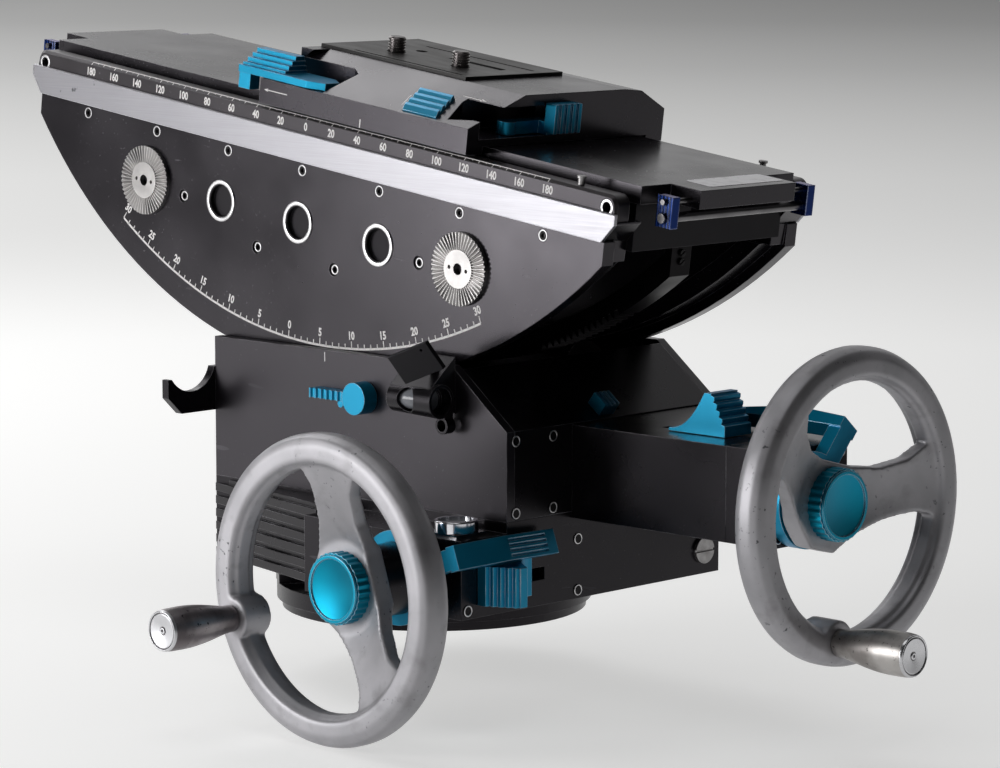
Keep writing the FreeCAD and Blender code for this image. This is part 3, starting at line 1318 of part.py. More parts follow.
# ---------------------------------------------------------------- build everything
base_plate()
pan_bearing()
pan_scale_ring()
pan_ring_gear()

pan_housing()
body_side("body_plate_left", -1)
body_side("body_plate_right", 1)
front_cover()
rear_cover()
ribbed_cover()
tilt_gear_case()
tilt_case_end()
wheel_barrels()
wheel_hook()
body_screws()
level_tube()
level_vials()
round_level()

level_mirror()
tilt_lock_lever()
rear_slider()
tilt_gear_selector()
pan_gear_selector()
tilt_release_lever()
pan_release_lever()

roller("front_roller", -roller_x)
roller("rear_roller", roller_x)
tilt_drive_gear()
tilt_wheel_shaft()
pan_drive_gear()
pan_layshaft()
pan_wheel_shaft()

for place, wheel in ((at_pan_wheel, "pan"), (at_tilt_wheel, "tilt")):
    save(f"{wheel}_handwheel", place(handwheel()))
    save(f"{wheel}_wheel_knob", place(wheel_knob()))
    save(f"{wheel}_crank_handle", place(crank_handle()))

cradle_side("cradle_plate_left", -1)
cradle_side("cradle_plate_right", 1)
side_rails()
scale_strips()
slide_bed()
cross_members()
tilt_sector()
rosettes()
cradle_screws()
catch_rods()
for end, end_name in ((-1, "front"), (1, "rear")):
    for side, side_name in ((-1, "left"), (1, "right")):
        catch_button(f"catch_{end_name}_{side_name}", end, side)

camera_block()
slide_gibs()
rubber_pad()
camera_screw("camera_screw_front", camera_screw_u[0])
camera_screw("camera_screw_rear", camera_screw_u[1])
slide_lock_lever()
safety_button()
slide_release_lever()
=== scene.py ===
import json
import math

import bmesh
import bpy
from mathutils import Matrix, Vector


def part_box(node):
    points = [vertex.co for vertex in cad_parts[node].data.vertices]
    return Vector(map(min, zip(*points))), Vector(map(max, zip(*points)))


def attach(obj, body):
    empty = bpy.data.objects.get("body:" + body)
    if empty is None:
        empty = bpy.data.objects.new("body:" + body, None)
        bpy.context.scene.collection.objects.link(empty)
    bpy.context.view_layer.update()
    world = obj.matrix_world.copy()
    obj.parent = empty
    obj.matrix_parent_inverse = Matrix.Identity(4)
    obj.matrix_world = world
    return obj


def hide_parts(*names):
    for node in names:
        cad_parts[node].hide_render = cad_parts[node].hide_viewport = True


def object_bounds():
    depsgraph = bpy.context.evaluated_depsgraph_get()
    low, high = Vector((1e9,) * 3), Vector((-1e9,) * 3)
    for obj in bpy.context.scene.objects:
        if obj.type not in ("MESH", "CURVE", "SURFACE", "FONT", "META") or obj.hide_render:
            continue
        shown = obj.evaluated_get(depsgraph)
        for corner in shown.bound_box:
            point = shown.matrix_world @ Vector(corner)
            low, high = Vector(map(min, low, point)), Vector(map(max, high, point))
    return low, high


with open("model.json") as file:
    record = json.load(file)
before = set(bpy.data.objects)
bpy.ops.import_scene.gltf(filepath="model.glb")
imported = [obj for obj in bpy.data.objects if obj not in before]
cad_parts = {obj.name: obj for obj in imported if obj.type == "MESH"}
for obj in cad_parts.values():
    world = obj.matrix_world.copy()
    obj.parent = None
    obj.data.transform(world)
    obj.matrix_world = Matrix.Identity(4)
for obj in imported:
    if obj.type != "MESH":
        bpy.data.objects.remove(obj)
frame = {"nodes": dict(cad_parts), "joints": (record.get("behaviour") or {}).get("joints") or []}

# Geared tripod head.  Metres, +Z up, +X to the rear, +Y to the right side of the head.
nodes = frame["nodes"]
joints = {joint["name"]: joint for joint in frame["joints"]}
cad_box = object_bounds()


# ---------------------------------------------------------------- turning body
# Box of black anodised aluminium plates screwed together: two side plates, a front and a sloped rear
# cover on a housing with the gearbox for pan at its left.  The edges are rubbed bright by use.
def add(tree, kind, settings=None, **sockets):
    """Add a node; a socket is named with _ for a space, or in0, in1 by its number."""
    made = tree.nodes.new(kind if "Node" in kind else "ShaderNode" + kind)
    for key, value in (settings or {}).items():
        setattr(made, key, value)
    for key, value in sockets.items():
        numbered = key.startswith("in") and key[2:].isdigit()
        socket = made.inputs[int(key[2:]) if numbered else key.replace("_", " ")]
        if isinstance(value, bpy.types.NodeSocket):
            tree.links.new(value, socket)
        else:
            socket.default_value = value
    return made


def math_node(tree, operation, *values):
    sockets = {f"in{k}": value for k, value in enumerate(values)}
    return add(tree, "Math", {"operation": operation}, **sockets).outputs[0]


def new_finish(name):
    """A material with its Principled shader; returns material, tree and shader."""
    material = bpy.data.materials.new(name)
    material.use_nodes = True
    tree = material.node_tree
    return material, tree, tree.nodes["Principled BSDF"]


def object_noise(tree, scale, detail=3.0, stretch=(1, 1, 1), turn=(0, 0, 0)):
    """Noise in the object's own coordinates; stretch above 1 packs it along that axis."""
    place = add(tree, "TexCoord")
    mapped = add(tree, "Mapping", Vector=place.outputs["Object"], Scale=stretch, Rotation=turn)
    return add(tree, "TexNoise", Vector=mapped.outputs[0], Scale=scale, Detail=detail).outputs[0]


def ramp(tree, value, low, high, to_low=0.0, to_high=1.0):
    """Map value from low..high to to_low..to_high, held at both ends."""
    return add(tree, "MapRange", in0=value, in1=low, in2=high, in3=to_low, in4=to_high).outputs[0]


def product(tree, a, b):
    return math_node(tree, "MULTIPLY", a, b)


def blended(tree, share, a, b):
    """Colour a where share is 0, b where it is 1."""
    mix = add(tree, "Mix", {"data_type": "RGBA"})
    for socket, value in ((mix.inputs[0], share), (mix.inputs[6], a), (mix.inputs[7], b)):
        if isinstance(value, bpy.types.NodeSocket):
            tree.links.new(value, socket)
        else:
            socket.default_value = value
    return mix.outputs[2]


def soft_edges(tree, radius):
    """Rounded-edge normal, and a mask that is 1 on the edges."""
    bevel = add(tree, "Bevel", {"samples": 6}, Radius=radius)
    flat = add(tree, "NewGeometry").outputs["Normal"]
    dot = add(tree, "VectorMath", {"operation": "DOT_PRODUCT"}, in0=bevel.outputs[0], in1=flat)
    return bevel.outputs[0], ramp(tree, dot.outputs["Value"], 0.985, 0.90)


def anodised(name, colour, bare, roughness, edge=0.0006, wear=0.7, dust=0.0, metal=0.0, shine=0.5,
             dust_colour=(0.30, 0.29, 0.32, 1)):
    """Anodised aluminium: dyed skin, rubbed to bare metal on its edges, with soft scuffs and dust."""
    material, tree, shader = new_finish(name)
    normal, on_edge = soft_edges(tree, edge)
    patches = ramp(tree, object_noise(tree, 60.0), 0.36, 0.64)
    worn = product(tree, product(tree, on_edge, patches), wear)
    field = ramp(tree, object_noise(tree, 11.0, 3.0), 0.46, 0.62)
    specks = ramp(tree, object_noise(tree, 620.0, 1.0), 0.72, 0.77)
    hairs = ramp(tree, object_noise(tree, 34.0, 1.0, (1, 1, 7), (0.4, 0.7, 0.9)), 0.755, 0.775)
    scuffs = product(tree, ramp(tree, object_noise(tree, 42.0, 6.0), 0.58, 0.76), 0.06)
    marks = math_node(tree, "MAXIMUM", product(tree, specks, field), product(tree, hairs, field))
    marks = product(tree, math_node(tree, "MAXIMUM", marks, scuffs), dust)
    tint = blended(tree, marks, colour, dust_colour)
    tree.links.new(blended(tree, worn, tint, bare), shader.inputs["Base Color"])
    gloss = ramp(tree, object_noise(tree, 22.0, 5.0), 0.3, 0.7, roughness - 0.05, roughness + 0.06)
    tree.links.new(math_node(tree, "ADD", gloss, product(tree, marks, 0.2)), shader.inputs["Roughness"])
    shader.inputs["Metallic"].default_value = metal
    shader.inputs["Specular IOR Level"].default_value = shine
    shader.inputs["Specular Tint"].default_value = (0.97, 0.90, 1.0, 1)
    bump = add(tree, "Bump", Strength=0.02, Distance=0.0002, Normal=normal,
               Height=object_noise(tree, 2600.0, 2.0))
    tree.links.new(bump.outputs[0], shader.inputs["Normal"])
    return material


def finish(material, *names):
    """Give CAD nodes this material."""
    for name in names:
        slots = nodes[name].data.materials
        slots.clear()
        slots.append(material)


BARE = (0.40, 0.39, 0.42, 1)
black_plate = anodised("black_anodised_plate", (0.008, 0.007, 0.009, 1), BARE, 0.34, dust=0.30, wear=0.9)
black_case = anodised("black_anodised_case", (0.004, 0.0035, 0.0045, 1), BARE, 0.28, dust=0.14, shine=0.28)
finish(black_plate, "body_plate_left", "body_plate_right")
finish(black_case, "pan_housing", "front_cover", "rear_cover", "tilt_gear_case", "tilt_case_end",
       "wheel_barrels", "wheel_hook", "level_tube", "ribbed_cover")


# ---------------------------------------------------------------- base
# Flange with a neck, turned from aluminium and anodised black; a scale ring of the same finish lies
# over it and shows under the turning body.
finish(black_case, "base_plate", "pan_scale_ring")


# ---------------------------------------------------------------- gears and shafts
# Ground steel shafts and gears with an oily sheen, inside the housing and between the cradle plates;
# the toothed strap of the cradle is blackened.
def steel_finish(name, colour, roughness, stained=0.72):
    material, tree, shader = new_finish(name)
    normal, on_edge = soft_edges(tree, 0.0003)
    stain = ramp(tree, object_noise(tree, 90.0, 4.0), 0.35, 0.7)
    dark = tuple(stained * c for c in colour[:3]) + (1,)
    tree.links.new(blended(tree, stain, colour, dark), shader.inputs["Base Color"])
    gloss = ramp(tree, object_noise(tree, 40.0, 4.0), 0.3, 0.7, roughness - 0.06, roughness + 0.08)
    tree.links.new(gloss, shader.inputs["Roughness"])
    tree.links.new(normal, shader.inputs["Normal"])
    shader.inputs["Metallic"].default_value = 1.0
    return material


gear_steel = steel_finish("oiled_gear_steel", (0.30, 0.29, 0.28, 1), 0.34)
black_steel = steel_finish("blackened_strap_steel", (0.012, 0.011, 0.012, 1), 0.36)
finish(gear_steel, "pan_bearing", "pan_ring_gear", "front_roller", "rear_roller", "tilt_drive_gear",
       "tilt_wheel_shaft", "pan_drive_gear", "pan_layshaft", "pan_wheel_shaft")
finish(black_steel, "tilt_sector")


# ---------------------------------------------------------------- cradle plates
# Two black anodised plates joined by cross members; they rock about a level axis high above.  A white
# degree scale runs along the arc of the left plate; three ports on each side have bright rings.
black_cradle = anodised("black_anodised_cradle", (0.005, 0.004, 0.006, 1), BARE, 0.21, dust=0.30)
black_inside = anodised("black_anodised_inside", (0.005, 0.005, 0.006, 1), BARE, 0.45, wear=0.2, shine=0.2)
finish(black_cradle, "cradle_plate_left", "cradle_plate_right")
finish(black_inside, "cross_members")

slide_axis = Vector(joints["camera_slide"]["axis"])
rest_tilt = math.atan2(-slide_axis.z, slide_axis.x)
cradle_place = Matrix.Translation(joints["tilt"]["pos_m"]) @ Matrix.Rotation(rest_tilt, 4, "Y")
# Drawing planes: x to the right, y up and z outwards for someone who looks at that face.
LEFT_FACE = Matrix(((1, 0, 0, 0), (0, 0, -1, 0), (0, 1, 0, 0), (0, 0, 0, 1)))
RIGHT_FACE = Matrix(((-1, 0, 0, 0), (0, 0, 1, 0), (0, 1, 0, 0), (0, 0, 0, 1)))
TOP_FACE = Matrix.Identity(4)
REAR_FACE = Matrix(((0, 0, 1, 0), (1, 0, 0, 0), (0, 1, 0, 0), (0, 0, 0, 1)))


def solids_of(node, place=TOP_FACE):
    """Lowest and highest corners of each separate solid of a CAD node, in the frame of place."""
    shape = bmesh.new()
    shape.from_mesh(nodes[node].data)
    bmesh.ops.remove_doubles(shape, verts=shape.verts, dist=1e-6)
    inward = place.inverted()
    seen, boxes = set(), []
    for start in shape.verts:
        if start in seen:
            continue
        seen.add(start)
        island, front = [], [start]
        while front:
            vert = front.pop()
            island.append(inward @ vert.co)
            for edge in vert.link_edges:
                other = edge.other_vert(vert)
                if other not in seen:
                    seen.add(other)
                    front.append(other)
        boxes.append((Vector(map(min, *island)), Vector(map(max, *island))))
    shape.free()
    return boxes


plate_box = solids_of("cradle_plate_left", cradle_place)[0]
plate_y = plate_box[0].y
cradle_radius = -plate_box[0].z


def on_cradle(face, y):
    """Matrix from a drawing plane (x right, y up, z outwards) to a side face of the cradle."""
    return cradle_place @ Matrix.Translation((0, y, 0)) @ face


def new_piece(name, mesh, body, material=None, smooth=0.6, replaced=()):
    """Link a finished mesh as a piece that rides on a body; corners over smooth radians stay sharp."""
    if material:
        mesh.materials.clear()
        mesh.materials.append(material)
    mesh.name = name
    if smooth:
        mesh.shade_smooth()
        mesh.set_sharp_from_angle(angle=smooth)
    piece = bpy.data.objects.new(name, mesh)
    bpy.context.scene.collection.objects.link(piece)
    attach(piece, body)
    for node in replaced:
        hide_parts(node)
    return piece


def growing_tree(name, sizes):
    """Geometry Nodes tree with a geometry input and a named input for each size."""
    tree = bpy.data.node_groups.new(name, "GeometryNodeTree")
    tree.interface.new_socket("Geometry", in_out="INPUT", socket_type="NodeSocketGeometry")
    for size, value in sizes.items():
        kind = "NodeSocketInt" if isinstance(value, int) else "NodeSocketFloat"
        tree.interface.new_socket(size, in_out="INPUT", socket_type=kind).default_value = value
    tree.interface.new_socket("Geometry", in_out="OUTPUT", socket_type="NodeSocketGeometry")
    return tree, tree.nodes.new("NodeGroupInput").outputs


def end_tree(tree, grown, material):
    """Instances made real, material set."""
    real = add(tree, "GeometryNodeRealizeInstances", in0=grown)
    dressed = add(tree, "GeometryNodeSetMaterial", in0=real.outputs[0])
    dressed.inputs["Material"].default_value = material
    leave = tree.nodes.new("NodeGroupOutput")
    tree.links.new(dressed.outputs[0], leave.inputs[0])


def set_on_seats(tree, size, shape, material):
    """A copy of the shape on each seat point, and the end of the tree."""
    seated = add(tree, "GeometryNodeInstanceOnPoints", Points=size["Geometry"], Instance=shape.outputs[0])
    end_tree(tree, seated.outputs[0], material)


def grown_mesh(tree, seats, sizes, places):
    """Plain mesh of what a tree sets on its seat points, repeated at each place."""
    points = bpy.data.meshes.new("seats")
    points.from_pydata(seats, [], [])
    grower = bpy.data.objects.new("grower", points)
    bpy.context.scene.collection.objects.link(grower)
    modifier = grower.modifiers.new("grown", "NODES")
    modifier.node_group = tree
    for item in tree.interface.items_tree:
        if item.in_out == "INPUT" and item.name in sizes:
            modifier[item.identifier] = sizes[item.name]
    graph = bpy.context.evaluated_depsgraph_get()
    made = bpy.data.meshes.new_from_object(grower.evaluated_get(graph), depsgraph=graph)
    bpy.data.objects.remove(grower)
    joined = bmesh.new()
    for place in places:
        copy = made.copy()
        copy.transform(place)
        joined.from_mesh(copy)
    bmesh.ops.recalc_face_normals(joined, faces=joined.faces)
    mesh = bpy.data.meshes.new("grown")
    joined.to_mesh(mesh)
    joined.free()
    for polygon in mesh.polygons:
        polygon.material_index = 0
    mesh.materials.append(next(material for material in made.materials if material))
    return mesh


def paint(name, colour, worn):
    """Thin printed paint, rubbed through in places."""
    material, tree, shader = new_finish(name)
    rubbed = product(tree, ramp(tree, object_noise(tree, 900.0, 2.0), 0.50, 0.70), worn)
    tree.links.new(blended(tree, rubbed, colour, (0.05, 0.05, 0.06, 1)), shader.inputs["Base Color"])
    shader.inputs["Roughness"].default_value = 0.5
    return material


white_paint = paint("white_print", (0.96, 0.93, 0.92, 1), 0.2)
FILM = 0.00008


def scale_ticks(material, bent):
    """Row of tick marks from a line or arc; every few of them is longer, towards +Y of the drawing."""
    tree, size = growing_tree("scale_ticks_arc" if bent else "scale_ticks_line", {
        "Count": 61, "Pitch": 0.01, "Radius": 0.28, "Width": 0.0004, "Film": FILM, "Short": 0.003,
        "Middle": 0.003, "Long": 0.005, "Middle Every": 2, "Long Every": 5})
    index = add(tree, "GeometryNodeInputIndex").outputs[0]
    middle = math_node(tree, "MULTIPLY", math_node(tree, "SUBTRACT", size["Count"], 1.0), 0.5)
    along = product(tree, math_node(tree, "SUBTRACT", index, middle), size["Pitch"])
    if bent:
        x = product(tree, math_node(tree, "SINE", along), size["Radius"])
        y = product(tree, math_node(tree, "COSINE", along), product(tree, size["Radius"], -1.0))
        turn = along
    else:
        x, y, turn = along, size["Radius"], 0.0
    length = size["Short"]
    for every, longer in (("Middle Every", "Middle"), ("Long Every", "Long")):
        remainder = math_node(tree, "MODULO", index, size[every])
        chosen = math_node(tree, "LESS_THAN", remainder, 0.5)
        extra = product(tree, math_node(tree, "SUBTRACT", size[longer], length), chosen)
        length = math_node(tree, "ADD", length, extra)
    line = add(tree, "GeometryNodeMeshLine", Count=size["Count"])
    spot = add(tree, "CombineXYZ", X=x, Y=y)
    seats = add(tree, "GeometryNodeSetPosition", in0=line.outputs[0], Position=spot.outputs[0])
    block = add(tree, "GeometryNodeMeshCube", Size=(1, 1, 1))
    stem = add(tree, "GeometryNodeTransform", in0=block.outputs[0], Translation=(0, 0.5, 0))
    spin = add(tree, "CombineXYZ", Z=turn)
    stretch = add(tree, "CombineXYZ", X=size["Width"], Y=length, Z=size["Film"])
    marks = add(tree, "GeometryNodeInstanceOnPoints", Points=seats.outputs[0], Instance=stem.outputs[0],
                Rotation=spin.outputs[0], Scale=stretch.outputs[0])
    end_tree(tree, marks.outputs[0], material)
    return tree


def flat_ring(name, material):
    """Flat ring with rounded corners on every seat point, its face along +Z."""
    tree, size = growing_tree(name, {"Radius": 0.01, "Width": 0.003, "Height": 0.001, "Round": 0.0003,
                                     "Steps": 48})
    path = add(tree, "GeometryNodeCurvePrimitiveCircle", Resolution=size["Steps"], Radius=size["Radius"])
    section = add(tree, "GeometryNodeCurvePrimitiveQuadrilateral", Width=size["Width"],
                  Height=size["Height"])
    rounded = add(tree, "GeometryNodeFilletCurve", {"mode": "POLY"}, Curve=section.outputs[0],
                  Radius=size["Round"], Count=3)
    ring = add(tree, "GeometryNodeCurveToMesh", Curve=path.outputs[0], Profile_Curve=rounded.outputs[0])
    set_on_seats(tree, size, ring, material)
    return tree


def printed(name, place, body, strokes=(), shapes=(), words=()):
    """Print on a face: strokes (points, width), filled shapes (points), words (text, x, y, high, turn)."""
    ink = bmesh.new()

    def fill(outline):
        low = [ink.verts.new((x, y, -FILM / 2)) for x, y in outline]
        high = [ink.verts.new((x, y, FILM / 2)) for x, y in outline]
        count = len(outline)
        ink.faces.new(low)
        ink.faces.new(high)
        for k in range(count):
            ink.faces.new((low[k], low[(k + 1) % count], high[(k + 1) % count], high[k]))

    for points, width in strokes:
        spots = [Vector(p) for p in points]
        for a, b in zip(spots, spots[1:]):
            side = (b - a).normalized().orthogonal() * (width / 2)
            reach = (b - a).normalized() * (width * 0.02)
            fill([a - side - reach, b - side + reach, b + side + reach, a + side - reach])
    for outline in shapes:
        fill([Vector(p) for p in outline])
    for text, x, y, high, turn in words:
        font = bpy.data.curves.new("word", "FONT")
        font.body = text
        font.align_x = "CENTER"
        font.align_y = "CENTER"
        font.offset = 0.035
        font.extrude = 0.5
        font.resolution_u = 3
        carrier = bpy.data.objects.new("word", font)
        bpy.context.scene.collection.objects.link(carrier)
        graph = bpy.context.evaluated_depsgraph_get()
        letters = bpy.data.meshes.new_from_object(carrier.evaluated_get(graph), depsgraph=graph)
        bpy.data.objects.remove(carrier)
        tall = max(v.co.y for v in letters.vertices) - min(v.co.y for v in letters.vertices)
        size = high / tall
        letters.transform(Matrix.Translation((x, y, 0)) @ Matrix.Rotation(turn, 4, "Z")
                          @ Matrix.Diagonal((size * 0.86, size, FILM, 1)))
        ink.from_mesh(letters)
        bpy.data.meshes.remove(letters)
    bmesh.ops.remove_doubles(ink, verts=ink.verts, dist=1e-7)
    bmesh.ops.recalc_face_normals(ink, faces=ink.faces)
    mesh = bpy.data.meshes.new(name)
    ink.to_mesh(mesh)
    ink.free()
    mesh.transform(place)
    new_piece(name, mesh, body, white_paint, smooth=0)


arc_radius, arc_half, arc_width = 0.2853, math.radians(30), 0.0012
number_high, number_inset, tick_width = 0.0046, 0.0068, 0.0006
arc_line = [(arc_radius * math.sin(a), -arc_radius * math.cos(a))
            for a in (arc_half * (k / 60 - 1) for k in range(121))]
arc_words = []
for degrees in range(-30, 31, 5):
    angle, inner = math.radians(degrees), arc_radius - number_inset
    arc_words.append((str(abs(degrees)), inner * math.sin(angle), -inner * math.cos(angle),
                      number_high, angle))
left_plate = on_cradle(LEFT_FACE, plate_y)
body_low, body_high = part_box("body_plate_left")
index_top, index_length = body_high.z - 0.0012, 0.005
printed("body_index_line", Matrix.Translation((0, body_low.y, 0)) @ LEFT_FACE, "turning_body",
        strokes=[([(0, index_top), (0, index_top - index_length)], tick_width)])
printed("tilt_scale_numbers", left_plate, "cradle", strokes=[(arc_line, arc_width)], words=arc_words)
arc_ticks = grown_mesh(scale_ticks(white_paint, True), [], {
    "Count": 61, "Pitch": math.radians(1), "Radius": arc_radius, "Width": tick_width, "Short": 0.0025,
    "Middle": 0.0025, "Long": 0.0040, "Long Every": 5, "Middle Every": 5}, [left_plate])
new_piece("tilt_scale_ticks", arc_ticks, "cradle", smooth=0)

port_pitch, port_rise, port_bore, shade_cup_gap = 0.0625, 0.0775, 0.009, 0.0002
port_seats = [(u, port_rise - cradle_radius, 0) for u in (-port_pitch, 0, port_pitch)]
ring_metal = steel_finish("turned_ring_metal", (0.66, 0.65, 0.66, 1), 0.30, 0.85)
ring_tree = flat_ring("flat_rings", ring_metal)
both_sides = [on_cradle(LEFT_FACE, plate_y), on_cradle(RIGHT_FACE, -plate_y)]
port_rings = grown_mesh(ring_tree, port_seats,
                        {"Radius": port_bore + 0.0013, "Width": 0.0024, "Height": 0.0016,
                         "Round": 0.0005, "Steps": 72}, both_sides)
new_piece("port_rings", port_rings, "cradle")


def port_linings(material):
    """Dull black cup in each port, its mouth on the seat point: painted shade where the bore lies in shadow.
    """
    tree, size = growing_tree("port_linings", {"Radius": 0.0088, "Depth": 0.006, "Steps": 48})
    path = add(tree, "GeometryNodeCurvePrimitiveCircle", Resolution=size["Steps"], Radius=size["Radius"])
    wall = add(tree, "GeometryNodeCurvePrimitiveQuadrilateral", Width=0.0002, Height=size["Depth"])
    tube = add(tree, "GeometryNodeCurveToMesh", Curve=path.outputs[0], Profile_Curve=wall.outputs[0])
    disc = add(tree, "GeometryNodeMeshCylinder", Vertices=size["Steps"], Radius=size["Radius"], Depth=0.0002)
    low = add(tree, "CombineXYZ", Z=math_node(tree, "MULTIPLY", size["Depth"], -0.5))
    bottom = add(tree, "GeometryNodeTransform", in0=disc.outputs[0], Translation=low.outputs[0])
    cup = add(tree, "GeometryNodeJoinGeometry", in0=tube.outputs[0])
    tree.links.new(bottom.outputs[0], cup.inputs[0])
    sunk = add(tree, "GeometryNodeTransform", in0=cup.outputs[0], Translation=low.outputs[0])
    set_on_seats(tree, size, sunk, material)
    return tree


# Painted shade: a dull black cup in each port stands for the shadow deep in its bore.
shade_cups = grown_mesh(port_linings(black_inside), [(u, w, -shade_cup_gap) for u, w, _ in port_seats],
                     {"Radius": port_bore - shade_cup_gap, "Depth": 0.0025, "Steps": 48}, both_sides)
new_piece("port_linings", shade_cups, "cradle")


# ---------------------------------------------------------------- side rails
# Brushed aluminium skins along both sides of the cradle, scuffed by cases and hands.
def brushed_rail():
    material, tree, shader = new_finish("brushed_aluminium_rail")
    normal, on_edge = soft_edges(tree, 0.0006)
    lines = object_noise(tree, 40.0, 5.0, (0.7, 60, 60), (0, -rest_tilt, 0))
    dirt = ramp(tree, object_noise(tree, 150.0, 3.0), 0.69, 0.75)
    field = ramp(tree, object_noise(tree, 9.0, 2.0), 0.52, 0.62)
    cloud = ramp(tree, object_noise(tree, 26.0, 5.0), 0.35, 0.7)
    tint = blended(tree, ramp(tree, lines, 0.3, 0.7), (0.33, 0.325, 0.35, 1), (0.29, 0.285, 0.305, 1))
    tint = blended(tree, product(tree, cloud, 0.25), tint, (0.40, 0.39, 0.41, 1))
    tint = blended(tree, product(tree, dirt, field), tint, (0.09, 0.09, 0.10, 1))
    tint = blended(tree, product(tree, on_edge, 0.8), tint, (0.86, 0.85, 0.90, 1))
    tree.links.new(tint, shader.inputs["Base Color"])
    tree.links.new(ramp(tree, lines, 0.3, 0.7, 0.31, 0.38), shader.inputs["Roughness"])
    bump = add(tree, "Bump", Strength=0.10, Distance=0.0001, Height=lines, Normal=normal)
    tree.links.new(bump.outputs[0], shader.inputs["Normal"])
    shader.inputs["Metallic"].default_value = 0.9
    return material


def chamfered(node, material, width, half_width, height, flat_half=1.0, end_round=0.0):
    """Copy of a CAD bar of the cradle with its upper outer edges chamfered, round its round ends too."""
    shape = bmesh.new()
    shape.from_mesh(nodes[node].data)
    bmesh.ops.remove_doubles(shape, verts=shape.verts, dist=1e-6)
    bmesh.ops.dissolve_limit(shape, angle_limit=0.01, verts=shape.verts, edges=shape.edges)
    inward = cradle_place.inverted()

    def on_edge(point):
        beyond = max(abs(point.x) - flat_half, 0)
        reach = math.hypot(beyond, point.z - (height - end_round))
        return (abs(abs(point.y) - half_width) < 2e-5 and point.z > height - end_round - 2e-5
                and reach > end_round - 4e-5)

    edges = [edge for edge in shape.edges if all(on_edge(inward @ vert.co) for vert in edge.verts)]
    bmesh.ops.bevel(shape, geom=edges, offset=width, offset_type="OFFSET", segments=1, affect="EDGES")
    bmesh.ops.recalc_face_normals(shape, faces=shape.faces)
    mesh = bpy.data.meshes.new(node)
    shape.to_mesh(mesh)
    shape.free()
    new_piece(node + "_chamfered", mesh, "cradle", material, 0.4, (node,))


rail_box = solids_of("side_rails", cradle_place)[0]
rail_half_width = max(abs(rail_box[0].y), abs(rail_box[1].y))
chamfered("side_rails", brushed_rail(), 0.0006, rail_half_width, rail_box[1].z)


# ---------------------------------------------------------------- scale strips
# Black strips screwed on top of the rails; the left one is ruled in millimetres both ways from its
# middle, in white, with a number at every twentieth.
black_strip = anodised("black_anodised_strip", (0.016, 0.014, 0.014, 1), BARE, 0.30, dust=0.30, wear=0.9)
strip_top = solids_of("scale_strips", cradle_place)[0][1].z
strip_chamfer, strip_flat_half, strip_end_round = 0.0016, 0.222, 0.0056
chamfered("scale_strips", black_strip, strip_chamfer, -plate_y, strip_top,
          strip_flat_half, strip_end_round)
slide_half, number_y = 0.180, strip_top - strip_end_round
slide_words = [(str(abs(mm)), mm / 1000, number_y, number_high, 0.0) for mm in range(-180, 181, 20)]
printed("slide_scale_numbers", left_plate, "cradle", words=slide_words)
chamfer_place = (cradle_place @ Matrix.Translation((0, plate_y + strip_chamfer, strip_top))
                 @ Matrix.Rotation(math.radians(45), 4, "X"))
printed("slide_scale_line", chamfer_place, "cradle",
        strokes=[([(-slide_half, -0.0002), (slide_half, -0.0002)], 0.0005)])
tick_place = chamfer_place @ Matrix.Rotation(math.pi, 4, "Z")
slide_ticks = grown_mesh(scale_ticks(white_paint, False), [], {
    "Count": 73, "Pitch": 0.005, "Radius": 0.0, "Width": 0.0005, "Short": 0.0009, "Middle": 0.0017,
    "Long": 0.0022, "Middle Every": 2, "Long Every": 4}, [tick_place])
new_piece("slide_scale_ticks", slide_ticks, "cradle", smooth=0)


# ---------------------------------------------------------------- screws and pins
# Blackened cap screws; the lip round each socket is rubbed bright.  The plug of the oil hole, the stop
# pins of the slide and the rods that the catches slide on are bare steel.
rod_steel = steel_finish("rod_steel", (0.16, 0.155, 0.16, 1), 0.30)
finish(rod_steel, "catch_rods")


def dark_screws(name, bright_solids):
    """Dark screw heads; the chosen solids of the same node are bare steel."""
    material, tree, shader = new_finish(name)
    place = add(tree, "TexCoord")
    chosen, outer, inner = 0.0, 0.0125, 0.0105
    for low, high, place_of in bright_solids:
        centre = place_of @ ((low + high) / 2)
        apart = add(tree, "VectorMath", {"operation": "DISTANCE"}, in0=place.outputs["Object"], in1=centre)
        near = ramp(tree, apart.outputs["Value"], outer, inner)
        chosen = math_node(tree, "MAXIMUM", near, chosen)
    normal, on_edge = soft_edges(tree, 0.0004)
    stain = ramp(tree, object_noise(tree, 260.0, 4.0), 0.35, 0.7)
    bright = blended(tree, stain, (0.44, 0.43, 0.43, 1), (0.26, 0.25, 0.25, 1))
    tree.links.new(blended(tree, chosen, (0.015, 0.014, 0.015, 1), bright), shader.inputs["Base Color"])
    tree.links.new(normal, shader.inputs["Normal"])
    shader.inputs["Metallic"].default_value = 0.9
    shader.inputs["Roughness"].default_value = 0.40
    return material


body_heads = solids_of("body_screws")
plug = max(body_heads, key=lambda corners: corners[1].y - corners[0].y)
finish(dark_screws("screw_heads_and_plug", [plug + (TOP_FACE,)]), "body_screws")
bed_top = solids_of("slide_bed", cradle_place)[0][1].z
cradle_heads = solids_of("cradle_screws", cradle_place)
stop_pins = [pair + (cradle_place,) for pair in cradle_heads if pair[1].z > bed_top - 0.002]
finish(dark_screws("screw_heads_and_pins", stop_pins), "cradle_screws")


def screw_lips(name, body, heads, flatten, low, high, radius, width, places):
    """Bright rings round the sockets of the heads whose width lies from low to high."""
    lip_height = 0.0005
    seats = [(*flatten((a + b) / 2), 0) for a, b in heads if low < flatten(b - a)[0] < high]
    lips = grown_mesh(ring_tree, seats, {"Radius": radius, "Width": width, "Height": lip_height,
                                         "Round": lip_height * 0.35, "Steps": 32}, places)
    new_piece(name, lips, body)


def side_view(point):
    return point.x, point.z


def rear_view(point):
    return point.y, point.z


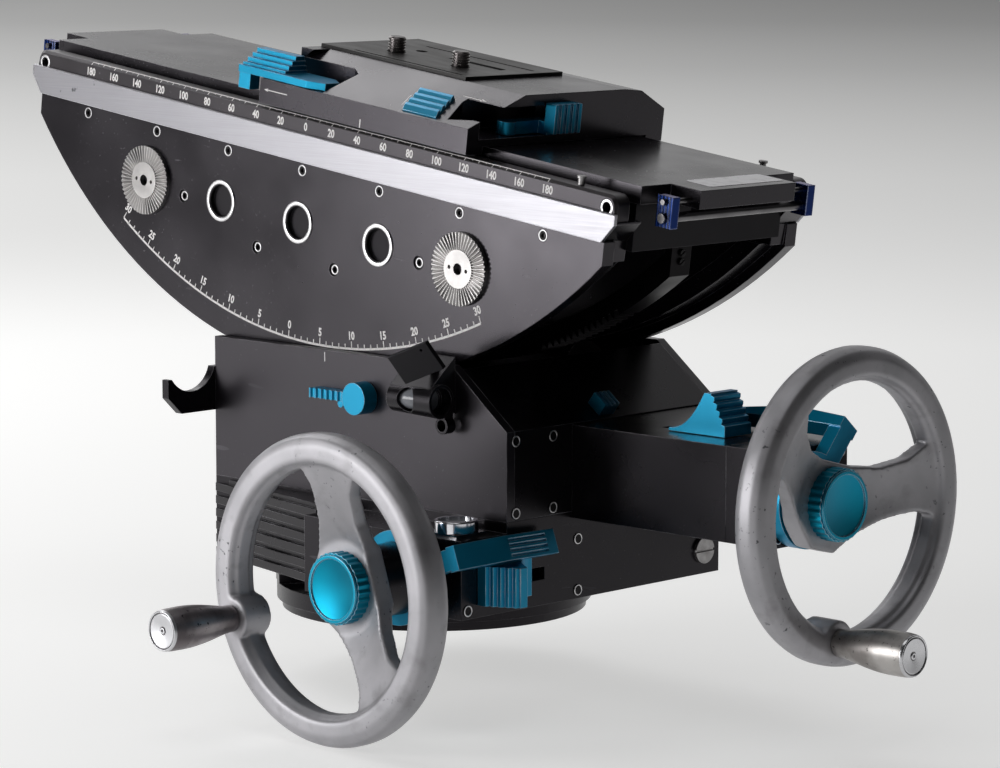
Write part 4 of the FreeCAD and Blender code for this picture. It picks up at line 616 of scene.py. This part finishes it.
left_heads = [pair for pair in cradle_heads
              if pair[1].y < plate_y + 0.003 and pair[1].z - pair[0].z > 0.004]
for name, low, high, radius, width, sunk in (
        ("plate_screw_lips", 0.0055, 0.0065, 0.0027, 0.0007, 0.0002),
        ("bolt_lips", 0.0069, 0.0075, 0.0023, 0.0008, 0.0009),
        ("strip_screw_lips", 0.0082, 0.0090, 0.0035, 0.0014, 0.0002)):
    faces = [on_cradle(LEFT_FACE, plate_y + sunk), on_cradle(RIGHT_FACE, -plate_y - sunk)]
    screw_lips(name, "cradle", left_heads, side_view, low, high, radius, width, faces)

rear_heads = [pair for pair in body_heads if pair[0].x > 0 and pair[1].y - pair[0].y < 0.007]
body_end = min(pair[1].x for pair in rear_heads) + 0.001
for name, heads in (("rear_screw_lips", [pair for pair in rear_heads if pair[1].x < body_end]),
                    ("case_screw_lips", [pair for pair in rear_heads if pair[1].x > body_end])):
    face = Matrix.Translation((heads[0][1].x, 0, 0)) @ REAR_FACE
    screw_lips(name, "turning_body", heads, rear_view, 0.005, 0.007, 0.0026, 0.0007, [face])


# ---------------------------------------------------------------- slide bed
# Flat black plate between the rails, with the gibs that the camera block slides on; a pale label
# without print is glued near its rear end.
black_satin = anodised("black_anodised_satin", (0.009, 0.008, 0.010, 1), BARE, 0.24, dust=0.30, wear=0.9)
finish(black_satin, "slide_bed", "slide_gibs")


def label_paper():
    material, tree, shader = new_finish("pale_label")
    rubbed = ramp(tree, object_noise(tree, 160.0, 4.0), 0.52, 0.72)
    tint = blended(tree, rubbed, (0.86, 0.85, 0.88, 1), (0.60, 0.59, 0.61, 1))
    tree.links.new(tint, shader.inputs["Base Color"])
    shader.inputs["Roughness"].default_value = 0.35
    return material


def bed_label():
    """Thin sheet with clipped corners."""
    x0, x1, y0, y1, clip, thick = 0.2252, 0.2430, -0.0220, 0.0345, 0.0012, 0.00015
    outline = [(x0 + clip, y0), (x1 - clip, y0), (x1, y0 + clip), (x1, y1 - clip), (x1 - clip, y1),
               (x0 + clip, y1), (x0, y1 - clip), (x0, y0 + clip)]
    sheet = bmesh.new()
    face = sheet.faces.new([sheet.verts.new((x, y, 0)) for x, y in outline])
    raised = bmesh.ops.extrude_face_region(sheet, geom=[face])
    bmesh.ops.translate(sheet, verts=[v for v in raised["geom"] if isinstance(v, bmesh.types.BMVert)],
                        vec=(0, 0, thick))
    bmesh.ops.recalc_face_normals(sheet, faces=sheet.faces)
    mesh = bpy.data.meshes.new("bed_label")
    sheet.to_mesh(mesh)
    sheet.free()
    mesh.transform(cradle_place @ Matrix.Translation((0, 0, bed_top)))
    new_piece("bed_label", mesh, "cradle", label_paper(), smooth=0)


bed_label()


# ---------------------------------------------------------------- levers, buttons and catches
# Blue anodised aluminium, machined, with ribs for the thumb; corners rubbed bright.
blue = anodised("blue_anodised", (0.002, 0.27, 0.46, 1), (0.60, 0.74, 0.82, 1), 0.36, edge=0.0006,
                wear=1.0, dust=0.12, metal=0.6)
blue_lever = anodised("blue_anodised_lever", (0.002, 0.25, 0.42, 1), (0.60, 0.72, 0.82, 1), 0.34,
                      edge=0.0005, wear=1.0, dust=0.12, metal=0.7)
dark_blue = anodised("dark_blue_anodised", (0.002, 0.022, 0.13, 1), (0.45, 0.50, 0.70, 1), 0.24,
                     edge=0.0008, wear=1.0, metal=0.85)
finish(blue, "tilt_lock_lever", "tilt_gear_selector", "pan_gear_selector", "tilt_release_lever",
       "pan_release_lever", "rear_slider")
finish(blue_lever, "slide_lock_lever", "safety_button", "release_lever")
finish(dark_blue, "catch_front_left", "catch_front_right", "catch_rear_left", "catch_rear_right")


# ---------------------------------------------------------------- levels
# Glass vials: a tube level in a black barrel, a round one in a chrome cup.  The mirror that swings
# over the tube level is dull black on its back and edges.
chrome, tree, shader = new_finish("chrome")
shader.inputs["Base Color"].default_value = (0.72, 0.72, 0.75, 1)
shader.inputs["Metallic"].default_value = 1.0
tree.links.new(ramp(tree, object_noise(tree, 30.0), 0.3, 0.7, 0.06, 0.14), shader.inputs["Roughness"])
finish(chrome, "round_level")

vial, tree, shader = new_finish("vial_glass")
tree.links.new(blended(tree, ramp(tree, object_noise(tree, 60.0), 0.4, 0.6), (0.16, 0.17, 0.19, 1),
                       (0.30, 0.31, 0.34, 1)), shader.inputs["Base Color"])
shader.inputs["Roughness"].default_value = 0.06
finish(vial, "level_vials")
finish(black_inside, "level_mirror")


# ---------------------------------------------------------------- camera block
# Black block that slides on the bed, glossier than the plates.
# Arrows show which way its levers turn.
black_block = anodised("black_anodised_block", (0.012, 0.010, 0.014, 1), BARE, 0.25, dust=0.35, wear=1.0)
finish(black_block, "camera_block")

arrow_tip, barb, arrow_start, arrow_end, arrow_w, barb_half = (
    -0.0350, -0.0318, -0.0325, -0.0165, -0.1554, 0.0009)
index_u, index_high, index_low = 0.0412, -0.1585, -0.1630
printed("block_side_marks", left_plate, "carriage",
        strokes=[([(arrow_start, arrow_w), (arrow_end, arrow_w)], 0.0005),
                 ([(index_u, index_high), (index_u, index_low)], 0.0008)],
        shapes=[[(arrow_tip, arrow_w), (barb, arrow_w + barb_half), (barb, arrow_w - barb_half)]])
slope_rise, slope_run, slope_w = 0.0159, 0.0410, -0.1497
mark_y, mark_width, mark_barb = 0.0292, 0.0007, 0.0012
slope_place = (cradle_place @ Matrix.Translation((0, plate_y, slope_w))
               @ Matrix.Rotation(math.atan2(slope_rise, slope_run), 4, "X"))
printed("block_slope_marks", slope_place, "carriage",
        strokes=[([(0.0642, 0.0078), (0.0604, 0.0186)], mark_width),
                 ([(0.0888, mark_y), (0.1030, mark_y)], mark_width)],
        shapes=[[(0.1060, mark_y), (0.1020, mark_y + mark_barb), (0.1020, mark_y - mark_barb)]])


# ---------------------------------------------------------------- pad and camera studs
# Worn black rubber pad with slots for the studs; the studs are threaded steel, blackened, with their
# edges rubbed bright.
rubber, tree, shader = new_finish("black_rubber")
smear = object_noise(tree, 30.0, 6.0, (1.0, 3.0, 1.0))
tree.links.new(blended(tree, ramp(tree, smear, 0.3, 0.7), (0.020, 0.018, 0.018, 1), (0.034, 0.031, 0.030, 1)),
               shader.inputs["Base Color"])
tree.links.new(ramp(tree, smear, 0.3, 0.7, 0.34, 0.48), shader.inputs["Roughness"])
shader.inputs["Specular IOR Level"].default_value = 0.25
finish(rubber, "rubber_pad")


def stud_steel():
    """Blackened steel; crests and top edge rubbed bright."""
    material, tree, shader = new_finish("stud_steel")
    normal, on_edge = soft_edges(tree, 0.0003)
    patches = ramp(tree, object_noise(tree, 300.0), 0.40, 0.60)
    tint = blended(tree, product(tree, on_edge, patches), (0.11, 0.10, 0.10, 1), (0.75, 0.70, 0.66, 1))
    tree.links.new(tint, shader.inputs["Base Color"])
    tree.links.new(normal, shader.inputs["Normal"])
    shader.inputs["Metallic"].default_value = 1.0
    shader.inputs["Roughness"].default_value = 0.30
    return material


finish(stud_steel(), "camera_screw_front", "camera_screw_rear")


# ---------------------------------------------------------------- rosettes
# Steel discs with radial teeth for accessory arms, on both sides of the cradle; a flat boss in the
# middle has the bore and two pin holes.
rosette_steel = steel_finish("rosette_steel", (0.46, 0.445, 0.44, 1), 0.34, 0.72)
finish(rosette_steel, "rosettes")


# ---------------------------------------------------------------- handwheels
# Dished castings of aluminium, tumbled smooth, so every edge is round; dull grey, handled and stained.
def cast_aluminium():
    material, tree, shader = new_finish("cast_aluminium")
    cloud = object_noise(tree, 30.0, 7.0)
    pits = ramp(tree, object_noise(tree, 380.0, 2.0), 0.66, 0.73)
    field = ramp(tree, object_noise(tree, 20.0, 2.0), 0.46, 0.62)
    grime = ramp(tree, object_noise(tree, 75.0, 5.0), 0.56, 0.72)
    tint = blended(tree, ramp(tree, cloud, 0.35, 0.65), (0.37, 0.365, 0.385, 1), (0.50, 0.49, 0.515, 1))
    tint = blended(tree, product(tree, grime, 0.4), tint, (0.22, 0.21, 0.22, 1))
    tint = blended(tree, product(tree, pits, field), tint, (0.10, 0.10, 0.11, 1))
    tree.links.new(tint, shader.inputs["Base Color"])
    tree.links.new(ramp(tree, cloud, 0.3, 0.7, 0.45, 0.53), shader.inputs["Roughness"])
    bump = add(tree, "Bump", Strength=0.12, Distance=0.0002, Height=object_noise(tree, 500.0))
    tree.links.new(bump.outputs[0], shader.inputs["Normal"])
    shader.inputs["Metallic"].default_value = 0.6
    return material


cast = cast_aluminium()


def tumbled(node, body, voxel=0.0009, rounds=10):
    """Rounded copy of a CAD casting, which then stands for it."""
    source = nodes[node]
    shape = bmesh.new()
    shape.from_mesh(source.data)
    bmesh.ops.remove_doubles(shape, verts=shape.verts, dist=1e-6)
    mesh = bpy.data.meshes.new(node + "_casting")
    shape.to_mesh(mesh)
    shape.free()
    rough = bpy.data.objects.new(node + "_rough", mesh)
    bpy.context.scene.collection.objects.link(rough)
    remesh = rough.modifiers.new("remesh", "REMESH")
    remesh.mode = "VOXEL"
    remesh.voxel_size = voxel
    remesh.use_smooth_shade = True
    smooth = rough.modifiers.new("smooth", "SMOOTH")
    smooth.factor = 0.5
    smooth.iterations = rounds
    graph = bpy.context.evaluated_depsgraph_get()
    finished = bpy.data.meshes.new_from_object(rough.evaluated_get(graph), depsgraph=graph)
    bpy.data.objects.remove(rough)
    new_piece(node + "_casting", finished, body, cast, 0, (node,))


tumbled("pan_handwheel", "pan_wheel")
tumbled("tilt_handwheel", "tilt_wheel")


# ---------------------------------------------------------------- wheel knobs
# Blue nuts that clamp the wheels: fluted all round, with a raised bezel about a sunk face.
def fluted_rim(material):
    """Band with shallow flutes round it, its foot on the seat point, rising along +Z."""
    tree, size = growing_tree("fluted_rim", {"Radius": 0.0185, "Height": 0.008, "Flutes": 30,
                                             "Deep": 0.0003, "Steps": 480})
    circle = add(tree, "GeometryNodeCurvePrimitiveCircle", Resolution=size["Steps"], Radius=size["Radius"])
    place = add(tree, "SeparateXYZ", in0=add(tree, "GeometryNodeInputPosition").outputs[0])
    angle = math_node(tree, "ARCTAN2", place.outputs["Y"], place.outputs["X"])
    wave = math_node(tree, "COSINE", product(tree, angle, size["Flutes"]))
    hollow = product(tree, math_node(tree, "SUBTRACT", wave, 1.0), product(tree, size["Deep"], 0.5))
    share = math_node(tree, "DIVIDE", hollow, size["Radius"])
    at = add(tree, "GeometryNodeInputPosition")
    push = add(tree, "VectorMath", {"operation": "SCALE"}, in0=at.outputs[0], Scale=share)
    waved = add(tree, "GeometryNodeSetPosition", in0=circle.outputs[0], Offset=push.outputs[0])
    disc = add(tree, "GeometryNodeFillCurve", in0=waved.outputs[0])
    rise = add(tree, "CombineXYZ", Z=size["Height"])
    tall = add(tree, "GeometryNodeExtrudeMesh", {"mode": "FACES"}, Mesh=disc.outputs[0],
               Offset=rise.outputs[0], Offset_Scale=1.0, Individual=False)
    set_on_seats(tree, size, tall, material)
    return tree


def turned(name, outline, place, body, material, steps=96, replaced=(), smooth=0.6):
    """Solid turned about +Z from an outline of (radius, height) points, then moved to its place."""
    verts, faces, rows = [], [], []
    for radius, height in outline:
        if radius < 1e-7:
            rows.append([len(verts)] * steps)
            verts.append((0, 0, height))
            continue
        rows.append(list(range(len(verts), len(verts) + steps)))
        verts += [(radius * math.cos(2 * math.pi * k / steps), radius * math.sin(2 * math.pi * k / steps),
                   height) for k in range(steps)]
    for low, high in zip(rows, rows[1:]):
        for k in range(steps):
            n = (k + 1) % steps
            corners = []
            for corner in (low[k], low[n], high[n], high[k]):
                if corner not in corners:
                    corners.append(corner)
            faces.append(corners)
    mesh = bpy.data.meshes.new(name)
    mesh.from_pydata(verts, [], faces)
    shape = bmesh.new()
    shape.from_mesh(mesh)
    bmesh.ops.recalc_face_normals(shape, faces=shape.faces)
    shape.to_mesh(mesh)
    shape.free()
    mesh.transform(place)
    new_piece(name, mesh, body, material, smooth, replaced)


def knob_blue():
    """Deep cyan anodising; the two turned edges of the bezel are rubbed to silver."""
    material, tree, shader = new_finish("knob_blue")
    normal, on_edge = soft_edges(tree, 0.0005)
    patches = ramp(tree, object_noise(tree, 80.0), 0.20, 0.50, 0.45, 1.0)
    cloud = ramp(tree, object_noise(tree, 45.0, 5.0), 0.3, 0.7)
    tint = blended(tree, cloud, (0.0, 0.235, 0.37, 1), (0.0, 0.29, 0.43, 1))
    tree.links.new(blended(tree, product(tree, on_edge, patches), tint, (0.62, 0.74, 0.80, 1)),
                   shader.inputs["Base Color"])
    tree.links.new(ramp(tree, cloud, 0.0, 1.0, 0.36, 0.44), shader.inputs["Roughness"])
    tree.links.new(normal, shader.inputs["Normal"])
    shader.inputs["Metallic"].default_value = 0.85
    return material


pan_hub = Vector(joints["pan_wheel_spin"]["pos_m"])
tilt_hub = Vector(joints["tilt_wheel_spin"]["pos_m"])
pan_knob_box, tilt_knob_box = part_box("pan_wheel_knob"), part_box("tilt_wheel_knob")
FACING_LEFT = Matrix.Rotation(math.pi / 2, 4, "X")
FACING_REAR = Matrix.Rotation(math.pi / 2, 4, "Y")
knob_skin = knob_blue()
rim_tree = fluted_rim(knob_skin)
knob_radius = (pan_knob_box[1].x - pan_knob_box[0].x) / 2
top = pan_knob_box[1].y - pan_knob_box[0].y
band_top = top - 0.0014
rim, lip, corner, sunk = knob_radius - 0.0009, knob_radius - 0.0031, 0.0002, 0.0010
bezel = [(0, band_top - 0.002), (rim, band_top - 0.002), (rim, top - 0.0005), (rim - 0.0005, top),
         (lip + corner, top), (lip, top - corner), (lip, top - 0.0009), (lip - corner, top - sunk),
         (0.0, top - sunk)]
for name, seat, body in (
        ("pan_wheel_knob", Matrix.Translation((pan_hub.x, pan_knob_box[1].y, pan_hub.z)) @ FACING_LEFT,
         "pan_wheel"),
        ("tilt_wheel_knob", Matrix.Translation((tilt_knob_box[0].x, tilt_hub.y, tilt_hub.z)) @ FACING_REAR,
         "tilt_wheel")):
    flutes = grown_mesh(rim_tree, [(0, 0, 0)], {"Radius": knob_radius, "Height": band_top, "Flutes": 30,
                                                "Deep": 0.00055, "Steps": 480}, [seat])
    new_piece(name + "_flutes", flutes, body, None, 0.7, (name,))
    turned(name + "_bezel", bezel, seat, body, knob_skin, 128)


# ---------------------------------------------------------------- crank handles
# Barrel grips that turn on a pin in the wheel's rim, worn by hands; a polished cap with a small screw.
def worn_grip(name, colour, bare, wear):
    material, tree, shader = new_finish(name)
    normal, on_edge = soft_edges(tree, 0.0004)
    cloud = ramp(tree, object_noise(tree, 55.0, 6.0), 0.40, 0.66)
    pits = ramp(tree, object_noise(tree, 420.0, 3.0), 0.64, 0.70)
    tint = blended(tree, product(tree, cloud, wear), colour, bare)
    tint = blended(tree, product(tree, pits, 0.8), tint, (0.02, 0.018, 0.018, 1))
    tree.links.new(blended(tree, product(tree, on_edge, 0.8), tint, bare), shader.inputs["Base Color"])
    tree.links.new(ramp(tree, cloud, 0.0, 1.0, 0.42, 0.34), shader.inputs["Roughness"])
    tree.links.new(normal, shader.inputs["Normal"])
    shader.inputs["Metallic"].default_value = 0.8
    return material


pan_grip = worn_grip("worn_dark_grip", (0.16, 0.14, 0.145, 1), (0.40, 0.37, 0.38, 1), 0.8)
tilt_grip = worn_grip("worn_grey_grip", (0.26, 0.24, 0.23, 1), (0.58, 0.56, 0.54, 1), 0.8)
cap_metal = steel_finish("polished_cap", (0.66, 0.66, 0.68, 1), 0.30, 0.82)


def barrel(length, root, wide):
    """Outline of the grip: slim neck, then a long swell that closes slightly towards the end."""
    neck, edge = 0.0040, 0.0012
    points = [(0, 0.0003), (root - 0.0004, 0.0003), (root, 0.0010), (root + 0.0001, neck)]
    for k in range(1, 15):
        t = k / 14
        swell = math.sin(t * math.pi / 2) ** 1.15
        points.append((root + (wide - root) * swell, neck + 0.66 * length * t))
    points += [(wide - 0.0001, length * 0.90), (wide - 0.0004, length - 0.0014),
               (wide - edge, length - edge), (0, length - edge)]
    return points


for name, body, grip, seat, outward in (
        ("pan_crank_handle", "pan_crank", pan_grip, FACING_LEFT, Vector((0, -1, 0))),
        ("tilt_crank_handle", "tilt_crank", tilt_grip, FACING_REAR, Vector((1, 0, 0)))):
    low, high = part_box(name)
    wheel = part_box(name.replace("crank_handle", "handwheel"))
    middle, wide = (low + high) / 2, (high.z - low.z) / 2
    rim_face = max(wheel[0].dot(outward), wheel[1].dot(outward))
    long = max(low.dot(outward), high.dot(outward)) - rim_face
    spot = Matrix.Translation(middle + outward * (rim_face - middle.dot(outward))) @ seat
    turned(name + "_grip", barrel(long, wide * 0.63, wide), spot, body, grip, 96, (name,), 0.5)
    rim, cap = wide - 0.0004, wide - 0.0021
    below_tip = [
        (0, 0.0030), (rim - 0.0002, 0.0030), (rim, 0.0012), (rim - 0.0004, 0.0002), (rim - 0.0007, 0),
        (cap + 0.0007, 0), (cap + 0.0004, 0.0003), (cap + 0.0004, 0.0013), (cap, 0.0013), (cap, 0.0004),
        (cap - 0.0004, 0.0002), (0.0030, 0.0008), (0.0022, 0.0009), (0.0021, 0.0017), (0.0019, 0.0017),
        (0.0018, 0.0006), (0.0015, 0.0004), (0.0008, 0.0004), (0.0007, 0.0014), (0, 0.0014)]
    face = [(radius, long - depth) for radius, depth in below_tip]
    turned(name + "_cap", face, spot, body, cap_metal, 96, (), 0.5)


# ---------------------------------------------------------------- floor, light and camera
# Pale floor with a painted pool of light: brightest near the head and towards the left, running to grey in
# the distance, with painted shade on the far side away from the main view.  A soft lamp low at the left
# lights the sides; one high at the front and one overhead light what faces up.
VIEW_WAY = Vector((-0.699, 0.715, 0))
LEFT_WAY = Vector((-0.715, -0.699, 0))


def pale_floor():
    """Pale floor: lit for its shadow; what looks at it sees a painted pool of light, brightest near the head
    and to the left, with painted shade on the far side.
    """
    material = bpy.data.materials.new("pale_floor")
    material.use_nodes = True
    tree = material.node_tree
    tree.nodes.clear()
    place = add(tree, "TexCoord").outputs["Object"]
    deep = add(tree, "VectorMath", {"operation": "DOT_PRODUCT"}, in0=place, in1=VIEW_WAY).outputs["Value"]
    side = add(tree, "VectorMath", {"operation": "DOT_PRODUCT"}, in0=place, in1=LEFT_WAY).outputs["Value"]
    far = add(tree, "VectorMath", {"operation": "LENGTH"}, in0=place).outputs["Value"]
    shade = add(tree, "ValToRGB", Fac=ramp(tree, far, 0.0, 12.0))
    stops = ((0.0, 0.52), (0.03, 0.52), (0.125, 0.62), (0.285, 0.56), (0.54, 0.34), (0.76, 0.22), (1.0, 0.17))
    points = shade.color_ramp.elements
    while len(points) < len(stops):
        points.new(0.5)
    for point, (where, level) in zip(points, stops):
        point.position = where
        point.color = (level, level, level * 0.99, 1)
    # Painted light: brighter towards the left; painted shade: darker on the far side, away from the main
    # view.
    painted_left_light = math_node(tree, "MINIMUM", math_node(tree, "POWER", 1.27, side), 1.40)
    behind = math_node(tree, "DIVIDE", deep, math_node(tree, "MAXIMUM", far, 0.01))
    aside = add(tree, "MapRange", {"interpolation_type": "SMOOTHSTEP"}, in0=behind, in1=-0.1, in2=0.93,
                in3=0.42, in4=1.0).outputs[0]
    outer = ramp(tree, far, 0.6, 2.6)
    painted_far_shade = add(tree, "MapRange", in0=outer, in1=0.0, in2=1.0, in3=1.0, in4=aside).outputs[0]
    level = product(tree, painted_left_light, painted_far_shade)
    tint = add(tree, "VectorMath", {"operation": "SCALE"}, in0=shade.outputs[0], Scale=level).outputs[0]
    glow = add(tree, "Emission", Color=tint, Strength=1.0)
    # The painted shade of the far side also darkens the floor's lit colour.
    grey = product(tree, painted_far_shade, 0.60)
    lit = add(tree, "BsdfDiffuse", Color=add(tree, "CombineXYZ", X=grey, Y=grey, Z=grey).outputs[0])
    both = add(tree, "AddShader", in0=glow.outputs[0], in1=lit.outputs[0])
    path = add(tree, "LightPath")
    seen = math_node(tree, "MAXIMUM", path.outputs["Is Camera Ray"], path.outputs["Is Glossy Ray"])
    seen = math_node(tree, "MAXIMUM", seen, path.outputs["Is Transmission Ray"])
    mix = add(tree, "MixShader", in0=seen, in1=lit.outputs[0], in2=both.outputs[0])
    add(tree, "OutputMaterial", Surface=mix.outputs[0])
    return material


floor_mesh = bpy.data.meshes.new("floor")
reach = 60.0
floor_mesh.from_pydata([(-reach, -reach, 0), (reach, -reach, 0), (reach, reach, 0), (-reach, reach, 0)],
                       [], [(0, 1, 2, 3)])
floor_mesh.materials.append(pale_floor())
floor = bpy.data.objects.new("floor", floor_mesh)
floor.location.z = cad_box[0].z - 0.0005
bpy.context.scene.collection.objects.link(floor)


def soft_lamp(name, place, aim, size, power):
    data = bpy.data.lights.new(name, "AREA")
    data.shape = "RECTANGLE"
    data.size, data.size_y = size
    data.energy = power
    lamp = bpy.data.objects.new(name, data)
    lamp.location = place
    lamp.rotation_euler = (Vector(aim) - Vector(place)).to_track_quat("-Z", "Y").to_euler()
    bpy.context.scene.collection.objects.link(lamp)


soft_lamp("side_lamp", (-0.87, -1.70, 0.38), (0, 0, 0.15), (1.05, 0.95), 22)
soft_lamp("shoulder_lamp", (-1.45, 0.30, 1.30), (0, 0, 0.2), (1.4, 1.0), 10)
soft_lamp("top_lamp", (0.1, -0.5, 2.0), (0, 0, 0.1), (1.4, 1.0), 5)

world = bpy.data.worlds.new("studio")
bpy.context.scene.world = world
world.use_nodes = True
tree = world.node_tree
tree.nodes.clear()
way = add(tree, "TexCoord")
toward = add(tree, "VectorMath", {"operation": "DOT_PRODUCT"}, in0=way.outputs["Generated"],
             in1=Vector((-0.64, 0.74, 0.20)).normalized())
wall = ramp(tree, toward.outputs["Value"], 0.35, 0.85, 0.02, 0.75)
path = add(tree, "LightPath")
room = add(tree, "Background", Strength=wall)
seen = add(tree, "Background", Color=(0.22, 0.22, 0.22, 1), Strength=1.0)
mix = add(tree, "MixShader", in0=path.outputs["Is Camera Ray"], in1=room.outputs[0], in2=seen.outputs[0])
add(tree, "OutputWorld", Surface=mix.outputs[0])

camera_data = bpy.data.cameras.new("camera")
camera_data.lens = 137.27
camera_data.sensor_width = 36.0
camera_data.clip_end = 200.0
camera = bpy.data.objects.new("camera", camera_data)
azimuth, elevation = math.radians(44.35), math.radians(7.68)
looking = Vector((-math.sin(azimuth) * math.cos(elevation), math.cos(azimuth) * math.cos(elevation),
                  -math.sin(elevation)))
camera.location = (1.47763, -1.45964, 0.40145)
camera.rotation_euler = looking.to_track_quat("-Z", "Y").to_euler()
bpy.context.scene.collection.objects.link(camera)
bpy.context.scene.camera = camera

bpy.context.scene.view_settings.view_transform = "Standard"
